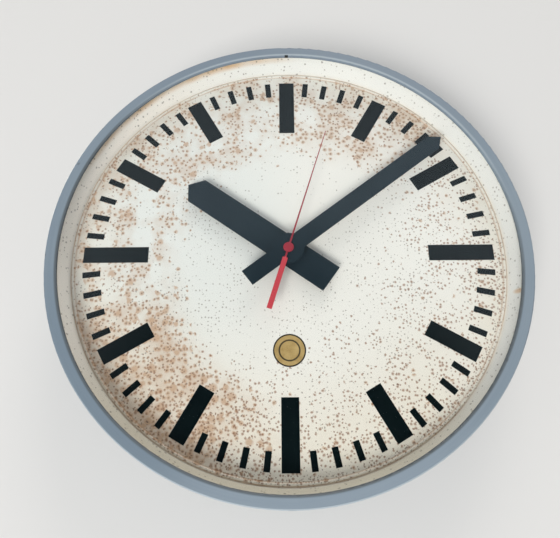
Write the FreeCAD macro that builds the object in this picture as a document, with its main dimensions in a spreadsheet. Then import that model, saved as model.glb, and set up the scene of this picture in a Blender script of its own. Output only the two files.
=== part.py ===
"""Round station clock for a wall: sheet-steel case, bezel ring, glass, dished dial, bar hands
and a battery movement.

Every piece is drawn in the clock's own frame: x to the right, y up, z out of the wall, with the wall
at z = 0 and the dial's axis at x = y = 0. Its placement then stands it upright, so that in the
finished part z is up, the dial faces -y and the origin is the middle of the hanging hole.
"""
import FreeCAD, Part
import math
import os

import Sketcher

document = FreeCAD.newDocument("StationClock")

# Driving dimensions in millimetres
SIZES = [
    ("case_depth", 70, "wall to the front of the bezel"),
    ("bezel_diameter", 402, "outside of the bezel ring"),
    ("bezel_face_width", 10.3, "flat front of the bezel, rim to lip"),
    ("bezel_sheet", 1.5, "bezel sheet thickness"),
    ("bezel_skirt", 24, "length of the bezel's side"),
    ("bezel_lip", 2.3, "lip turned back behind the bezel's front"),
    ("bezel_edge_round", 1.2, "outer front edge radius"),
    ("bezel_lip_round", 1.3, "inner front edge radius"),
    ("case_sheet", 1.2, "case sheet thickness"),
    ("case_fit", 0.2, "radial gap between case and bezel"),
    ("case_corner", 9, "outer radius between the case's back and side"),
    ("service_diameter", 110, "opening in the back for battery and setting"),
    ("service_collar", 5, "depth of the collar turned in round that opening"),
    ("hanger_height", 150, "hanging hole above the dial's axis"),
    ("keyhole_diameter", 10, "round part of the hanging hole"),
    ("keyhole_slot", 5, "width of its slot"),
    ("keyhole_rise", 8, "round part to the top of the slot"),
    ("lower_hole_diameter", 5.5, "lower wall screw hole"),
    ("lower_hole_drop", 150, "lower hole below the dial's axis"),
    ("screw_diameter", 4, "bezel screw thread"),
    ("screw_clearance", 0.2, "radial gap round a bezel screw"),
    ("screw_setback", 6, "bezel screws from the edge of the skirt"),
    ("screw_head_diameter", 7, "bezel screw head"),
    ("screw_head_height", 1.6, "bezel screw head height"),
    ("screw_length", 5.6, "bezel screw under its head"),
    ("case_nut_flats", 7, "nut inside the case, across flats"),
    ("case_nut_thickness", 2, "nut inside the case"),
    ("thread_gap", 0.02, "radial gap in a thread"),
    ("glass_thickness", 3, "glass pane"),
    ("glass_play", 1, "radial gap round the glass"),
    ("glass_chamfer", 0.5, "ground edge of the glass"),
    ("seal_thickness", 1.2, "rubber between glass and dial"),
    ("dial_sheet", 1, "dial sheet thickness"),
    ("dial_flange_gap", 0.3, "radial gap round the dial's flange and the seal"),
    ("dial_mouth_gap", 1.6, "radial gap between dial wall and case"),
    ("dial_flare", 7.5, "how far the dial's wall leans out"),
    ("bead_margin", 1, "wall foot to the pressed bead"),
    ("bead_width", 3, "pressed bead, foot to foot"),
    ("bead_height", 0.9, "pressed bead above the dial"),
    ("mark_margin", 6.6, "bead to the outer ends of the marks"),
    ("mark_paint", 0.15, "thickness of the painted marks"),
    ("quarter_mark_length", 56.1, "long bars"),
    ("quarter_mark_width", 14.2, "long bars"),
    ("hour_mark_length", 45.5, "hour bars"),
    ("hour_mark_width", 13.9, "hour bars"),
    ("minute_mark_length", 15.2, "minute bars"),
    ("minute_mark_width", 5.1, "minute bars"),
    ("badge_diameter", 27, "gold transfer"),
    ("badge_margin", 23.8, "transfer to the lower long bar"),
    ("badge_film", 0.12, "thickness of the transfer"),
    ("hand_sheet", 1, "hour and minute hand sheet"),
    ("hour_hand_length", 109, "axis to tip"),
    ("hour_hand_tail", 44, "axis to tail"),
    ("hour_hand_width", 25, "hour bar"),
    ("hour_hand_point", 9.6, "length of the blunt point"),
    ("minute_hand_short", 2.2, "minute tip inside the marks' outer ends"),
    ("minute_hand_tail", 43.3, "axis to tail"),
    ("minute_hand_width", 15, "minute bar"),
    ("minute_hand_point", 9.4, "length of the blunt point"),
    ("minute_disc_diameter", 27, "round middle of the minute hand"),
    ("second_sheet", 0.4, "second hand sheet"),
    ("second_hand_length", 118.2, "axis to tip"),
    ("second_hand_tail", 55.2, "axis to the end of the counterweight"),
    ("second_root_width", 1.5, "pointer at the middle"),
    ("second_tip_width", 0.6, "pointer at the tip"),
    ("second_tail_start", 9.3, "axis to the start of the counterweight"),
    ("second_tail_width", 4.4, "counterweight bar"),
    ("second_eye_diameter", 6, "eye under the hub disc"),
    ("second_hub_diameter", 8.8, "red hub disc"),
    ("second_hub_height", 0.8, "red hub disc"),
    ("second_glass_gap", 1.6, "hub disc to glass"),
    ("second_minute_gap", 0.9, "second hand to minute hand"),
    ("minute_hour_gap", 5.8, "minute hand to hour hand"),
    ("hour_collet_diameter", 16, "hour hub flange"),
    ("minute_collet_diameter", 14, "minute hub flange"),
    ("collet_flange", 1.2, "hub flange thickness"),
    ("collet_wall", 1.4, "wall of a hub's sleeve"),
    ("minute_boss_height", 2.2, "minute hub under its flange"),
    ("collet_gap", 1.5, "hour hub to the threaded bush"),
    ("bush_diameter", 8, "threaded bush"),
    ("bush_clearance", 0.15, "radial gap round the bush"),
    ("bush_proud", 0.7, "bush beyond its nut"),
    ("bush_nut_flats", 12, "nut on the dial, across flats"),
    ("bush_nut_height", 2.5, "nut on the dial"),
    ("washer_diameter", 18, "washer under that nut"),
    ("washer_thickness", 0.8, "washer under that nut"),
    ("gasket_diameter", 24, "rubber between dial and movement"),
    ("gasket_thickness", 1, "rubber between dial and movement"),
    ("hour_pipe_diameter", 5, "pipe that carries the hour hand"),
    ("minute_pipe_diameter", 3.5, "pipe that carries the minute hand"),
    ("second_arbor_diameter", 1, "pin that carries the second hand"),
    ("pipe_proud", 0.2, "pipe beyond its hand"),
    ("running_gap", 0.06, "radial gap of a turning fit"),
    ("press_gap", 0.01, "radial gap of a pressed fit"),
    ("movement_top", 28, "axis to the top of the movement"),
    ("housing_wall", 1.2, "movement walls and cover"),
    ("housing_ledge", 0.8, "steps that seat the cover and the middle plate"),
    ("seat_gap", 0.1, "gap round a seated plate"),
    ("train_gap", 0.8, "largest wheel to the wall"),
    ("wheel_sheet", 0.9, "thickness of a wheel"),
    ("level_gap", 0.5, "from one wheel to the next along the axis"),
    ("front_shake", 0.3, "hour wheel to the housing"),
    ("plate_sheet", 1, "middle plate"),
    ("third_distance", 12.24, "axis to the third wheel's arbor"),
    ("motion_distance", 9, "axis to the minute wheel's stud"),
    ("step_distance", 7.2, "axis to the step wheel's arbor"),
    ("rotor_distance", 7, "step wheel to rotor"),
    ("arbor_diameter", 1.5, "wheel arbors"),
    ("pivot_diameter", 0.9, "ends of the arbors"),
    ("pivot_length", 1.2, "ends of the arbors"),
    ("pivot_shake", 0.15, "end play of an arbor"),
    ("boss_diameter", 3, "bosses that hold the pivots"),
    ("boss_height", 0.9, "bosses that hold the pivots"),
    ("stud_diameter", 1.6, "stud of the minute wheel"),
    ("rotor_diameter", 5, "rotor magnet"),
    ("rotor_height", 1.6, "rotor magnet"),
    ("rotor_room", 1.8, "rotor magnet to the cover"),
    ("stator_sheet", 1.1, "stator plates"),
    ("stator_gap", 0.5, "rotor magnet to stator"),
    ("stator_margin", 1.2, "stator outside the rotor hole"),
    ("stator_leg", 2.6, "width of the stator's legs"),
    ("stator_top_drop", 6.5, "top of the movement to the top of the stator"),
    ("coil_build", 2.1, "winding beside the core"),
    ("coil_gap", 0.4, "coil to stator"),
    ("coil_flange", 0.8, "bobbin flange thickness"),
    ("coil_flange_rise", 0.3, "bobbin flange beyond the winding"),
    ("core_clearance", 0.1, "bobbin round the core"),
    ("post_diameter", 2.4, "posts under stator and board"),
    ("board_width", 15, "circuit board"),
    ("board_height", 13, "circuit board"),
    ("board_sheet", 1, "circuit board"),
    ("board_gap", 0.5, "circuit board to the walls"),
    ("post_inset", 2.2, "posts in from a corner"),
    ("crystal_diameter", 1.8, "quartz crystal can"),
    ("crystal_length", 6, "quartz crystal can"),
    ("battery_diameter", 14.5, "battery cell"),
    ("battery_length", 50.5, "battery cell with its nub"),
    ("battery_nub_diameter", 5.5, "plus pole"),
    ("battery_nub_length", 1, "plus pole"),
    ("battery_play", 0.3, "gap round the cell"),
    ("contact_sheet", 0.4, "contact springs"),
    ("contact_room", 1.1, "bulge of a contact spring"),
    ("contact_width", 10, "contact springs"),
    ("contact_bulge_diameter", 5, "contact springs"),
    ("knob_diameter", 14, "setting knob"),
    ("knob_height", 4, "setting knob"),
    ("knob_gap", 0.3, "setting knob to the cover"),
    ("knob_arbor_diameter", 3, "setting knob's arbor"),
    ("knurl_depth", 0.5, "grooves round the setting knob"),
]

# Teeth: second pinion to third wheel to centre wheel is 1 in 60, cannon pinion to minute wheel to hour
# wheel is 1 in 12, and rotor to step wheel to second wheel is 1 in 30
SECOND_PINION_TEETH = 8
THIRD_WHEEL_TEETH = 60
THIRD_PINION_TEETH = 8
CENTRE_WHEEL_TEETH = 64
CANNON_PINION_TEETH = 10
MINUTE_WHEEL_TEETH = 30
MINUTE_PINION_TEETH = 8
HOUR_WHEEL_TEETH = 32
KNOB_PINION_TEETH = 12
STEP_WHEEL_TEETH = 48
STEP_PINION_TEETH = 8
SECOND_WHEEL_TEETH = 40
ROTOR_PINION_TEETH = 8
KNURL_COUNT = 36

# Tooth form in modules, and the share of the pitch that a tooth takes at its tip and at its root
ADDENDUM = 0.9
DEDENDUM = 1.15
TIP_SHARE = 0.2
ROOT_SHARE = 0.5

# Directions from one arbor to the next, in degrees from the x axis
THIRD_DIRECTION = 165
MOTION_DIRECTION = 100
KNOB_DIRECTION = 120
STEP_DIRECTION = -20
ROTOR_DIRECTION = 20

# Where the hands stand, in degrees clockwise from the top of the dial
HOUR_REST = 305.6
MINUTE_REST = 52.6
SECOND_REST = 17.2

# Heights above the wall, radii and arbor places that follow from the driving dimensions
PLACES = [
    ("glass_front", "Sizes.case_depth - Sizes.bezel_lip"),
    ("glass_back", "glass_front - Sizes.glass_thickness"),
    ("flange_face", "glass_back - Sizes.seal_thickness"),
    ("case_rim", "flange_face - Sizes.dial_sheet"),
    ("hub_face", "glass_back - Sizes.second_glass_gap"),
    ("second_face", "hub_face - Sizes.second_hub_height"),
    ("second_back", "second_face - Sizes.second_sheet"),
    ("minute_face", "second_back - Sizes.second_minute_gap"),
    ("minute_back", "minute_face - Sizes.hand_sheet"),
    ("hour_face", "minute_back - Sizes.minute_hour_gap"),
    ("hour_back", "hour_face - Sizes.hand_sheet"),
    ("bush_end", "hour_back - Sizes.collet_flange - Sizes.collet_gap"),
    ("nut_back", "bush_end - Sizes.bush_proud - Sizes.bush_nut_height"),
    ("dial_face", "nut_back - Sizes.washer_thickness"),
    ("dial_back", "dial_face - Sizes.dial_sheet"),
    ("movement_face", "dial_back - Sizes.gasket_thickness"),
    ("front_inner", "movement_face - Sizes.housing_wall"),
    ("hour_wheel_top", "front_inner - Sizes.front_shake"),
    ("level", "Sizes.wheel_sheet + Sizes.level_gap"),
    ("minute_wheel_top", "hour_wheel_top - level"),
    ("centre_wheel_top", "minute_wheel_top - level"),
    ("plate_top", "centre_wheel_top - level"),
    ("plate_back", "plate_top - Sizes.plate_sheet"),
    ("third_wheel_top", "plate_back - Sizes.level_gap"),
    ("second_wheel_top", "third_wheel_top - level"),
    ("step_wheel_top", "second_wheel_top - level"),
    ("rotor_top", "step_wheel_top - level"),
    ("rotor_back", "rotor_top - Sizes.rotor_height"),
    ("cover_inner", "rotor_back - Sizes.rotor_room"),
    ("cover_back", "cover_inner - Sizes.housing_wall"),
    ("stator_face", "rotor_top - Sizes.rotor_height / 2 + Sizes.stator_sheet / 2"),
    ("stator_back", "stator_face - Sizes.stator_sheet"),
    ("board_back", "stator_face - Sizes.board_sheet"),
    ("bezel_radius", "Sizes.bezel_diameter / 2"),
    ("skirt_inner", "bezel_radius - Sizes.bezel_sheet"),
    ("skirt_edge", "Sizes.case_depth - Sizes.bezel_skirt"),
    ("screw_height", "skirt_edge + Sizes.screw_setback"),
    ("lip_radius", "bezel_radius - Sizes.bezel_face_width"),
    ("case_radius", "skirt_inner - Sizes.case_fit"),
    ("case_inner", "case_radius - Sizes.case_sheet"),
    ("glass_radius", "skirt_inner - Sizes.glass_play"),
    ("flange_radius", "skirt_inner - Sizes.dial_flange_gap"),
    ("mouth_outer", "case_inner - Sizes.dial_mouth_gap"),
    ("mouth_radius", "mouth_outer - Sizes.dial_sheet"),
    ("foot_radius", "mouth_radius - Sizes.dial_flare"),
    ("bead_outer", "foot_radius - Sizes.bead_margin"),
    ("bead_inner", "bead_outer - Sizes.bead_width"),
    ("mark_outer", "bead_inner - Sizes.mark_margin"),
    ("minute_tip", "mark_outer - Sizes.minute_hand_short"),
    ("badge_y", "Sizes.quarter_mark_length + Sizes.badge_margin + Sizes.badge_diameter / 2 - mark_outer"),
    ("bush_radius", "Sizes.bush_diameter / 2"),
    ("hour_pipe", "Sizes.hour_pipe_diameter / 2"),
    ("minute_pipe", "Sizes.minute_pipe_diameter / 2"),
    ("second_pin", "Sizes.second_arbor_diameter / 2"),
    ("pivot_radius", "Sizes.pivot_diameter / 2"),
    ("third_module", f"Sizes.third_distance * 2 / ({SECOND_PINION_TEETH} + {THIRD_WHEEL_TEETH})"),
    ("centre_module", f"Sizes.third_distance * 2 / ({THIRD_PINION_TEETH} + {CENTRE_WHEEL_TEETH})"),
    ("motion_module", f"Sizes.motion_distance * 2 / ({CANNON_PINION_TEETH} + {MINUTE_WHEEL_TEETH})"),
    ("second_module", f"Sizes.step_distance * 2 / ({STEP_PINION_TEETH} + {SECOND_WHEEL_TEETH})"),
    ("rotor_module", f"Sizes.rotor_distance * 2 / ({ROTOR_PINION_TEETH} + {STEP_WHEEL_TEETH})"),
    ("knob_distance", f"motion_module * ({MINUTE_WHEEL_TEETH} + {KNOB_PINION_TEETH}) / 2"),
    ("third_x", f"Sizes.third_distance * cos({THIRD_DIRECTION} deg)"),
    ("third_y", f"Sizes.third_distance * sin({THIRD_DIRECTION} deg)"),
    ("stud_x", f"Sizes.motion_distance * cos({MOTION_DIRECTION} deg)"),
    ("stud_y", f"Sizes.motion_distance * sin({MOTION_DIRECTION} deg)"),
    ("knob_x", f"stud_x + knob_distance * cos({KNOB_DIRECTION} deg)"),
    ("knob_y", f"stud_y + knob_distance * sin({KNOB_DIRECTION} deg)"),
    ("step_x", f"Sizes.step_distance * cos({STEP_DIRECTION} deg)"),
    ("step_y", f"Sizes.step_distance * sin({STEP_DIRECTION} deg)"),
    ("rotor_x", f"step_x + Sizes.rotor_distance * cos({ROTOR_DIRECTION} deg)"),
    ("rotor_y", f"step_y + Sizes.rotor_distance * sin({ROTOR_DIRECTION} deg)"),
    ("knob_pinion_radius", f"motion_module * ({KNOB_PINION_TEETH} / 2 + {ADDENDUM})"),
    ("third_pinion_radius", f"centre_module * ({THIRD_PINION_TEETH} / 2 + {ADDENDUM})"),
    ("centre_wheel_radius", f"centre_module * ({CENTRE_WHEEL_TEETH} / 2 + {ADDENDUM})"),
    ("battery_x", "Sizes.battery_length / 2 + Sizes.contact_room + Sizes.contact_sheet"),
    ("half_width", "battery_x + Sizes.housing_wall"),
    ("cavity_half", "half_width - Sizes.housing_wall - Sizes.housing_ledge"),
    ("cavity_top", "Sizes.movement_top - Sizes.housing_wall - Sizes.housing_ledge"),
    ("train_floor", "-(centre_wheel_radius + Sizes.train_gap + Sizes.housing_ledge)"),
    ("bay_top", "train_floor - Sizes.housing_ledge - Sizes.housing_wall"),
    ("bay_floor", "bay_top - Sizes.battery_diameter - 2 * Sizes.battery_play"),
    ("housing_floor", "bay_floor - Sizes.housing_wall"),
    ("battery_y", "(bay_top + bay_floor) / 2"),
    ("battery_z", "front_inner - Sizes.battery_play - Sizes.battery_diameter / 2"),
    ("rotor_hole", "Sizes.rotor_diameter / 2 + Sizes.stator_gap"),
    ("stator_left", "rotor_x - rotor_hole - Sizes.stator_margin"),
    ("stator_bottom", "rotor_y - rotor_hole - Sizes.stator_margin"),
    ("window_bottom", "rotor_y + rotor_hole + Sizes.stator_margin"),
    ("stator_top", "Sizes.movement_top - Sizes.stator_top_drop"),
    ("window_top", "stator_top - Sizes.stator_leg"),
    ("coil_reach", "Sizes.coil_build + Sizes.coil_flange_rise + Sizes.core_clearance"),
    ("stator_right", "cavity_half - coil_reach - Sizes.coil_gap"),
    ("core_left", "stator_right - Sizes.stator_leg"),
    ("coil_middle", "(stator_face + stator_back) / 2"),
    ("coil_half", "coil_middle - cover_inner - Sizes.coil_gap / 2"),
    ("board_left", "Sizes.board_gap - cavity_half"),
    ("board_top", "cavity_top - Sizes.board_gap"),
]

sizes = document.addObject("Spreadsheet::Sheet", "Sizes")
for row, (alias, number, note) in enumerate(SIZES, start=1):
    sizes.set(f"A{row}", note)
    sizes.set(f"B{row}", str(number))
    sizes.setAlias(f"B{row}", alias)
document.recompute()

places = document.addObject("Spreadsheet::Sheet", "Places")
for row, (alias, formula) in enumerate(PLACES, start=1):
    places.set(f"A{row}", alias.replace("_", " "))
    places.set(f"B{row}", f"={formula}")
    places.setAlias(f"B{row}", alias)
document.recompute()

FULL_TURN = 360
pieces = []


def value(text):
    """The number that an expression on the two sheets gives now."""
    return float(places.evalExpression(str(text)))


def stand_up(piece, clockwise=0, across="0", up="0"):
    """Hangs a piece from the origin, dial side to -y, turned clockwise and moved on the dial."""
    upright = FreeCAD.Rotation(FreeCAD.Vector(1, 0, 0), 90)
    turned = FreeCAD.Rotation(FreeCAD.Vector(0, 0, 1), -clockwise)
    piece.Placement = FreeCAD.Placement(FreeCAD.Vector(0, 0, 0), upright.multiply(turned))
    piece.setExpression("Placement.Base.x", across)
    piece.setExpression("Placement.Base.z", f"{up} - Sizes.hanger_height")
    pieces.append(piece)


def new_body(label, clockwise=0):
    """An empty body for one piece."""
    body = document.addObject("PartDesign::Body", label)
    body.Label = label
    stand_up(body, clockwise)
    return body


def new_sketch(body, role="XY_Plane", lift="0"):
    """A sketch on one of the body's origin planes, lifted along the plane's normal."""
    plane = [feature for feature in body.Origin.OriginFeatures if feature.Role == role][0]
    sketch = body.newObject("Sketcher::SketchObject", "Sketch")
    sketch.AttachmentSupport = [(plane, "")]
    sketch.MapMode = "FlatFace"
    sketch.setExpression("AttachmentOffset.Base.z", lift)
    return sketch


def bind(sketch, constraint, text):
    """Adds a constraint and ties its value to an expression."""
    index = sketch.addConstraint(constraint)
    sketch.setExpression(f"Constraints[{index}]", str(text))


def pin(sketch, geometry, point, across, up):
    """Fixes a point of the sketch at two expressions."""
    bind(sketch, Sketcher.Constraint("DistanceX", -1, 1, geometry, point, value(across)), across)
    bind(sketch, Sketcher.Constraint("DistanceY", -1, 1, geometry, point, value(up)), up)


def polygon(sketch, corners):
    """Closed outline of straight lines through corners that are pairs of expressions."""
    points = [FreeCAD.Vector(value(across), value(up), 0) for across, up in corners]
    first = sketch.GeometryCount
    for index, point in enumerate(points):
        sketch.addGeometry(Part.LineSegment(point, points[(index + 1) % len(points)]))
    for index, (across, up) in enumerate(corners):
        before = first + (index - 1) % len(corners)
        sketch.addConstraint(Sketcher.Constraint("Coincident", before, 2, first + index, 1))
        pin(sketch, first + index, 1, across, up)


def rectangle(sketch, left, bottom, right, top):
    """Upright rectangle between four expressions."""
    polygon(sketch, [(left, bottom), (right, bottom), (right, top), (left, top)])


def circle(sketch, across, up, radius):
    """Circle about a point given by expressions."""
    middle = FreeCAD.Vector(value(across), value(up), 0)
    index = sketch.addGeometry(Part.Circle(middle, FreeCAD.Vector(0, 0, 1), value(radius)))
    pin(sketch, index, 3, across, up)
    bind(sketch, Sketcher.Constraint("Radius", index, value(radius)), radius)


def hexagon(sketch, across, up, flats):
    """Regular hexagon, flats apart by an expression."""
    corners = []
    for corner in range(6):
        reach = f"({flats}) / (2 * cos(30 deg))"
        corners.append((f"{across} + {reach} * cos({corner * 60} deg)",
                        f"{up} + {reach} * sin({corner * 60} deg)"))
    polygon(sketch, corners)


def pad(body, sketch, length):
    """Raises a sketch along its normal."""
    feature = body.newObject("PartDesign::Pad", "Pad")
    feature.Profile = sketch
    feature.setExpression("Length", str(length))
    return feature


def cut(body, sketch, length):
    """Cuts a sketch along its normal."""
    feature = body.newObject("PartDesign::Pocket", "Pocket")
    feature.Profile = sketch
    feature.Reversed = True
    feature.setExpression("Length", str(length))
    return feature


def pad_round(body, across, up, radius, lift, length):
    """Raises a cylinder along z."""
    sketch = new_sketch(body, lift=lift)
    circle(sketch, across, up, radius)
    return pad(body, sketch, length)


def cut_round(body, across, up, radius, lift, length):
    """Drills along z."""
    sketch = new_sketch(body, lift=lift)
    circle(sketch, across, up, radius)
    return cut(body, sketch, length)


def pad_block(body, left, bottom, right, top, lift, length):
    """Raises a rectangle along z."""
    sketch = new_sketch(body, lift=lift)
    rectangle(sketch, left, bottom, right, top)
    return pad(body, sketch, length)


def cut_block(body, left, bottom, right, top, lift, length):
    """Cuts a rectangle along z."""
    sketch = new_sketch(body, lift=lift)
    rectangle(sketch, left, bottom, right, top)
    return cut(body, sketch, length)


def pad_ring(body, outer, inner, lift, length):
    """Raises a ring about the dial's axis."""
    sketch = new_sketch(body, lift=lift)
    circle(sketch, "0", "0", outer)
    circle(sketch, "0", "0", inner)
    return pad(body, sketch, length)


def turn(body, corners):
    """Turns a profile of radius and height about the dial's axis."""
    sketch = new_sketch(body, "XZ_Plane")
    polygon(sketch, corners)
    feature = body.newObject("PartDesign::Revolution", "Revolution")
    feature.Profile = sketch
    feature.ReferenceAxis = (sketch, ["V_Axis"])
    feature.Angle = FULL_TURN
    document.recompute()
    return feature


def repeat_round(body, originals, count):
    """Repeats features evenly about the dial's axis."""
    axis = [feature for feature in body.Origin.OriginFeatures if feature.Role == "Z_Axis"][0]
    pattern = body.newObject("PartDesign::PolarPattern", "PolarPattern")
    pattern.Originals = originals
    pattern.Axis = (axis, [""])
    pattern.Angle = FULL_TURN
    pattern.Occurrences = count
    body.Tip = pattern
    document.recompute()
    return pattern


def round_edges(body, places_and_radii):
    """Rounds circular edges about the dial's axis, each found by its radius and height."""
    near = 0.001
    for radius, height, rounding in places_and_radii:
        document.recompute()
        base = body.Tip
        names = []
        for index, edge in enumerate(base.Shape.Edges, start=1):
            box = edge.BoundBox
            level = box.ZLength < near and abs(box.ZMin - value(height)) < near
            if level and abs(box.XMax - value(radius)) < near and abs(box.YMax - value(radius)) < near:
                names.append(f"Edge{index}")
        fillet = body.newObject("PartDesign::Fillet", "Fillet")
        fillet.Base = (base, names)
        fillet.setExpression("Radius", str(rounding))
        document.recompute()


def drill_sides(body, radius, reach):
    """Drills the four holes of the bezel screws through a round wall."""
    sketch = new_sketch(body, "YZ_Plane")
    circle(sketch, "0", "Places.screw_height", radius)
    repeat_round(body, [cut(body, sketch, reach)], 4)


# Back case: a drawn steel pan whose rim carries the dial, with a collared service opening, a keyhole to
# hang it by and a lower hole for a second wall screw
def make_back_case():
    body = new_body("back_case")
    opening = "Sizes.service_diameter / 2"
    turn(body, [
        (opening, "0"),
        ("Places.case_radius", "0"),
        ("Places.case_radius", "Places.case_rim"),
        ("Places.case_inner", "Places.case_rim"),
        ("Places.case_inner", "Sizes.case_sheet"),
        (f"{opening} + Sizes.case_sheet", "Sizes.case_sheet"),
        (f"{opening} + Sizes.case_sheet", "Sizes.service_collar"),
        (opening, "Sizes.service_collar"),
    ])
    round_edges(body, [
        ("Places.case_radius", "0", "Sizes.case_corner"),
        ("Places.case_inner", "Sizes.case_sheet", "Sizes.case_corner - Sizes.case_sheet"),
    ])
    slot = "Sizes.keyhole_slot / 2"
    slot_top = "Sizes.hanger_height + Sizes.keyhole_rise"
    cut_round(body, "0", "Sizes.hanger_height", "Sizes.keyhole_diameter / 2", "0", "Sizes.case_sheet")
    cut_block(body, f"-{slot}", "Sizes.hanger_height", slot, slot_top, "0", "Sizes.case_sheet")
    cut_round(body, "0", slot_top, slot, "0", "Sizes.case_sheet")
    cut_round(body, "0", "-Sizes.lower_hole_drop", "Sizes.lower_hole_diameter / 2", "0", "Sizes.case_sheet")
    drill_sides(body, "Sizes.screw_diameter / 2 + Sizes.screw_clearance", "Places.bezel_radius")


# Bezel ring: spun steel, its skirt slips over the case and its lip holds the glass
def make_bezel_ring():
    body = new_body("bezel_ring")
    face_back = "Sizes.case_depth - Sizes.bezel_sheet"
    lip_back = "Places.lip_radius + Sizes.bezel_sheet"
    turn(body, [
        ("Places.skirt_inner", "Places.skirt_edge"),
        ("Places.bezel_radius", "Places.skirt_edge"),
        ("Places.bezel_radius", "Sizes.case_depth"),
        ("Places.lip_radius", "Sizes.case_depth"),
        ("Places.lip_radius", "Places.glass_front"),
        (lip_back, "Places.glass_front"),
        (lip_back, face_back),
        ("Places.skirt_inner", face_back),
    ])
    round_edges(body, [
        ("Places.bezel_radius", "Sizes.case_depth", "Sizes.bezel_edge_round"),
        ("Places.skirt_inner", face_back, "max(Sizes.bezel_edge_round - Sizes.bezel_sheet; 0.2)"),
        ("Places.lip_radius", "Sizes.case_depth", "Sizes.bezel_lip_round"),
    ])
    drill_sides(body, "Sizes.screw_diameter / 2 + Sizes.screw_clearance", "Places.bezel_radius + 1")


# Bezel screws: four cheese heads that go through the skirt and the case into nuts
def make_bezel_screws():
    body = new_body("bezel_screws")
    shank = new_sketch(body, "YZ_Plane", "Places.bezel_radius - Sizes.screw_length")
    circle(shank, "0", "Places.screw_height", "Sizes.screw_diameter / 2")
    shank_pad = pad(body, shank, "Sizes.screw_length")
    head = new_sketch(body, "YZ_Plane", "Places.bezel_radius")
    circle(head, "0", "Places.screw_height", "Sizes.screw_head_diameter / 2")
    head_pad = pad(body, head, "Sizes.screw_head_height")
    repeat_round(body, [shank_pad, head_pad], 4)


# Bezel nuts: flat hexagon nuts against the inside of the case, seated where their corners meet its curve
def make_bezel_nuts():
    body = new_body("bezel_nuts")
    corner = "Sizes.case_nut_flats / (2 * cos(30 deg))"
    seat = f"sqrt(pow(Places.case_inner; 2) - pow({corner}; 2)) - Sizes.press_gap"
    sketch = new_sketch(body, "YZ_Plane", f"{seat} - Sizes.case_nut_thickness")
    hexagon(sketch, "0", "Places.screw_height", "Sizes.case_nut_flats")
    circle(sketch, "0", "Places.screw_height", "Sizes.screw_diameter / 2 + Sizes.thread_gap")
    repeat_round(body, [pad(body, sketch, "Sizes.case_nut_thickness")], 4)


# Glass pane: flat disc with ground edges, clamped between the lip and the seal
def make_glass_pane():
    body = new_body("glass_pane")
    edge = "Places.glass_radius - Sizes.glass_chamfer"
    turn(body, [
        ("0", "Places.glass_back"),
        (edge, "Places.glass_back"),
        ("Places.glass_radius", "Places.glass_back + Sizes.glass_chamfer"),
        ("Places.glass_radius", "Places.glass_front - Sizes.glass_chamfer"),
        (edge, "Places.glass_front"),
        ("0", "Places.glass_front"),
    ])


# Glass seal: flat rubber ring on the dial's flange
def make_glass_seal():
    body = new_body("glass_seal")
    pad_ring(body, "Places.flange_radius", "Places.mouth_radius", "Places.flange_face",
             "Sizes.seal_thickness")


# Dial plate: one pressed steel dish, with a bead round the flat and a flared wall up to a flange that
# lies on the case's rim
def make_dial_plate():
    body = new_body("dial_plate")
    bead_top = "Places.bead_inner + Sizes.bead_width / 3"
    bead_end = "Places.bead_outer - Sizes.bead_width / 3"
    hole = "Places.bush_radius + Sizes.bush_clearance"
    rise = "Sizes.bead_height"
    turn(body, [
        (hole, "Places.dial_back"),
        ("Places.bead_inner", "Places.dial_back"),
        (bead_top, f"Places.dial_back + {rise}"),
        (bead_end, f"Places.dial_back + {rise}"),
        ("Places.bead_outer", "Places.dial_back"),
        ("Places.foot_radius + Sizes.dial_sheet", "Places.dial_back"),
        ("Places.mouth_outer", "Places.case_rim"),
        ("Places.flange_radius", "Places.case_rim"),
        ("Places.flange_radius", "Places.flange_face"),
        ("Places.mouth_radius", "Places.flange_face"),
        ("Places.foot_radius", "Places.dial_face"),
        ("Places.bead_outer", "Places.dial_face"),
        (bead_end, f"Places.dial_face + {rise}"),
        (bead_top, f"Places.dial_face + {rise}"),
        ("Places.bead_inner", "Places.dial_face"),
        (hole, "Places.dial_face"),
    ])


# Marks: bars of black paint, drawn once each in the first part of the ring and repeated round it
def make_marks(label, length, width, minutes, count):
    body = new_body(label)
    bars = []
    inner = f"(Places.mark_outer - {length})"
    for minute in minutes:
        sine = f"sin({minute * 6} deg)"
        cosine = f"cos({minute * 6} deg)"
        half = f"{width} / 2"
        sketch = new_sketch(body, lift="Places.dial_face")
        polygon(sketch, [
            (f"{inner} * {sine} - {half} * {cosine}", f"{inner} * {cosine} + {half} * {sine}"),
            (f"{inner} * {sine} + {half} * {cosine}", f"{inner} * {cosine} - {half} * {sine}"),
            (f"Places.mark_outer * {sine} + {half} * {cosine}",
             f"Places.mark_outer * {cosine} - {half} * {sine}"),
            (f"Places.mark_outer * {sine} - {half} * {cosine}",
             f"Places.mark_outer * {cosine} + {half} * {sine}"),
        ])
        bars.append(pad(body, sketch, "Sizes.mark_paint"))
    repeat_round(body, bars, count)


# Dial badge: a plain gold transfer under the middle
def make_dial_badge():
    body = new_body("dial_badge")
    pad_round(body, "0", "Places.badge_y", "Sizes.badge_diameter / 2", "Places.dial_face",
              "Sizes.badge_film")


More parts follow.
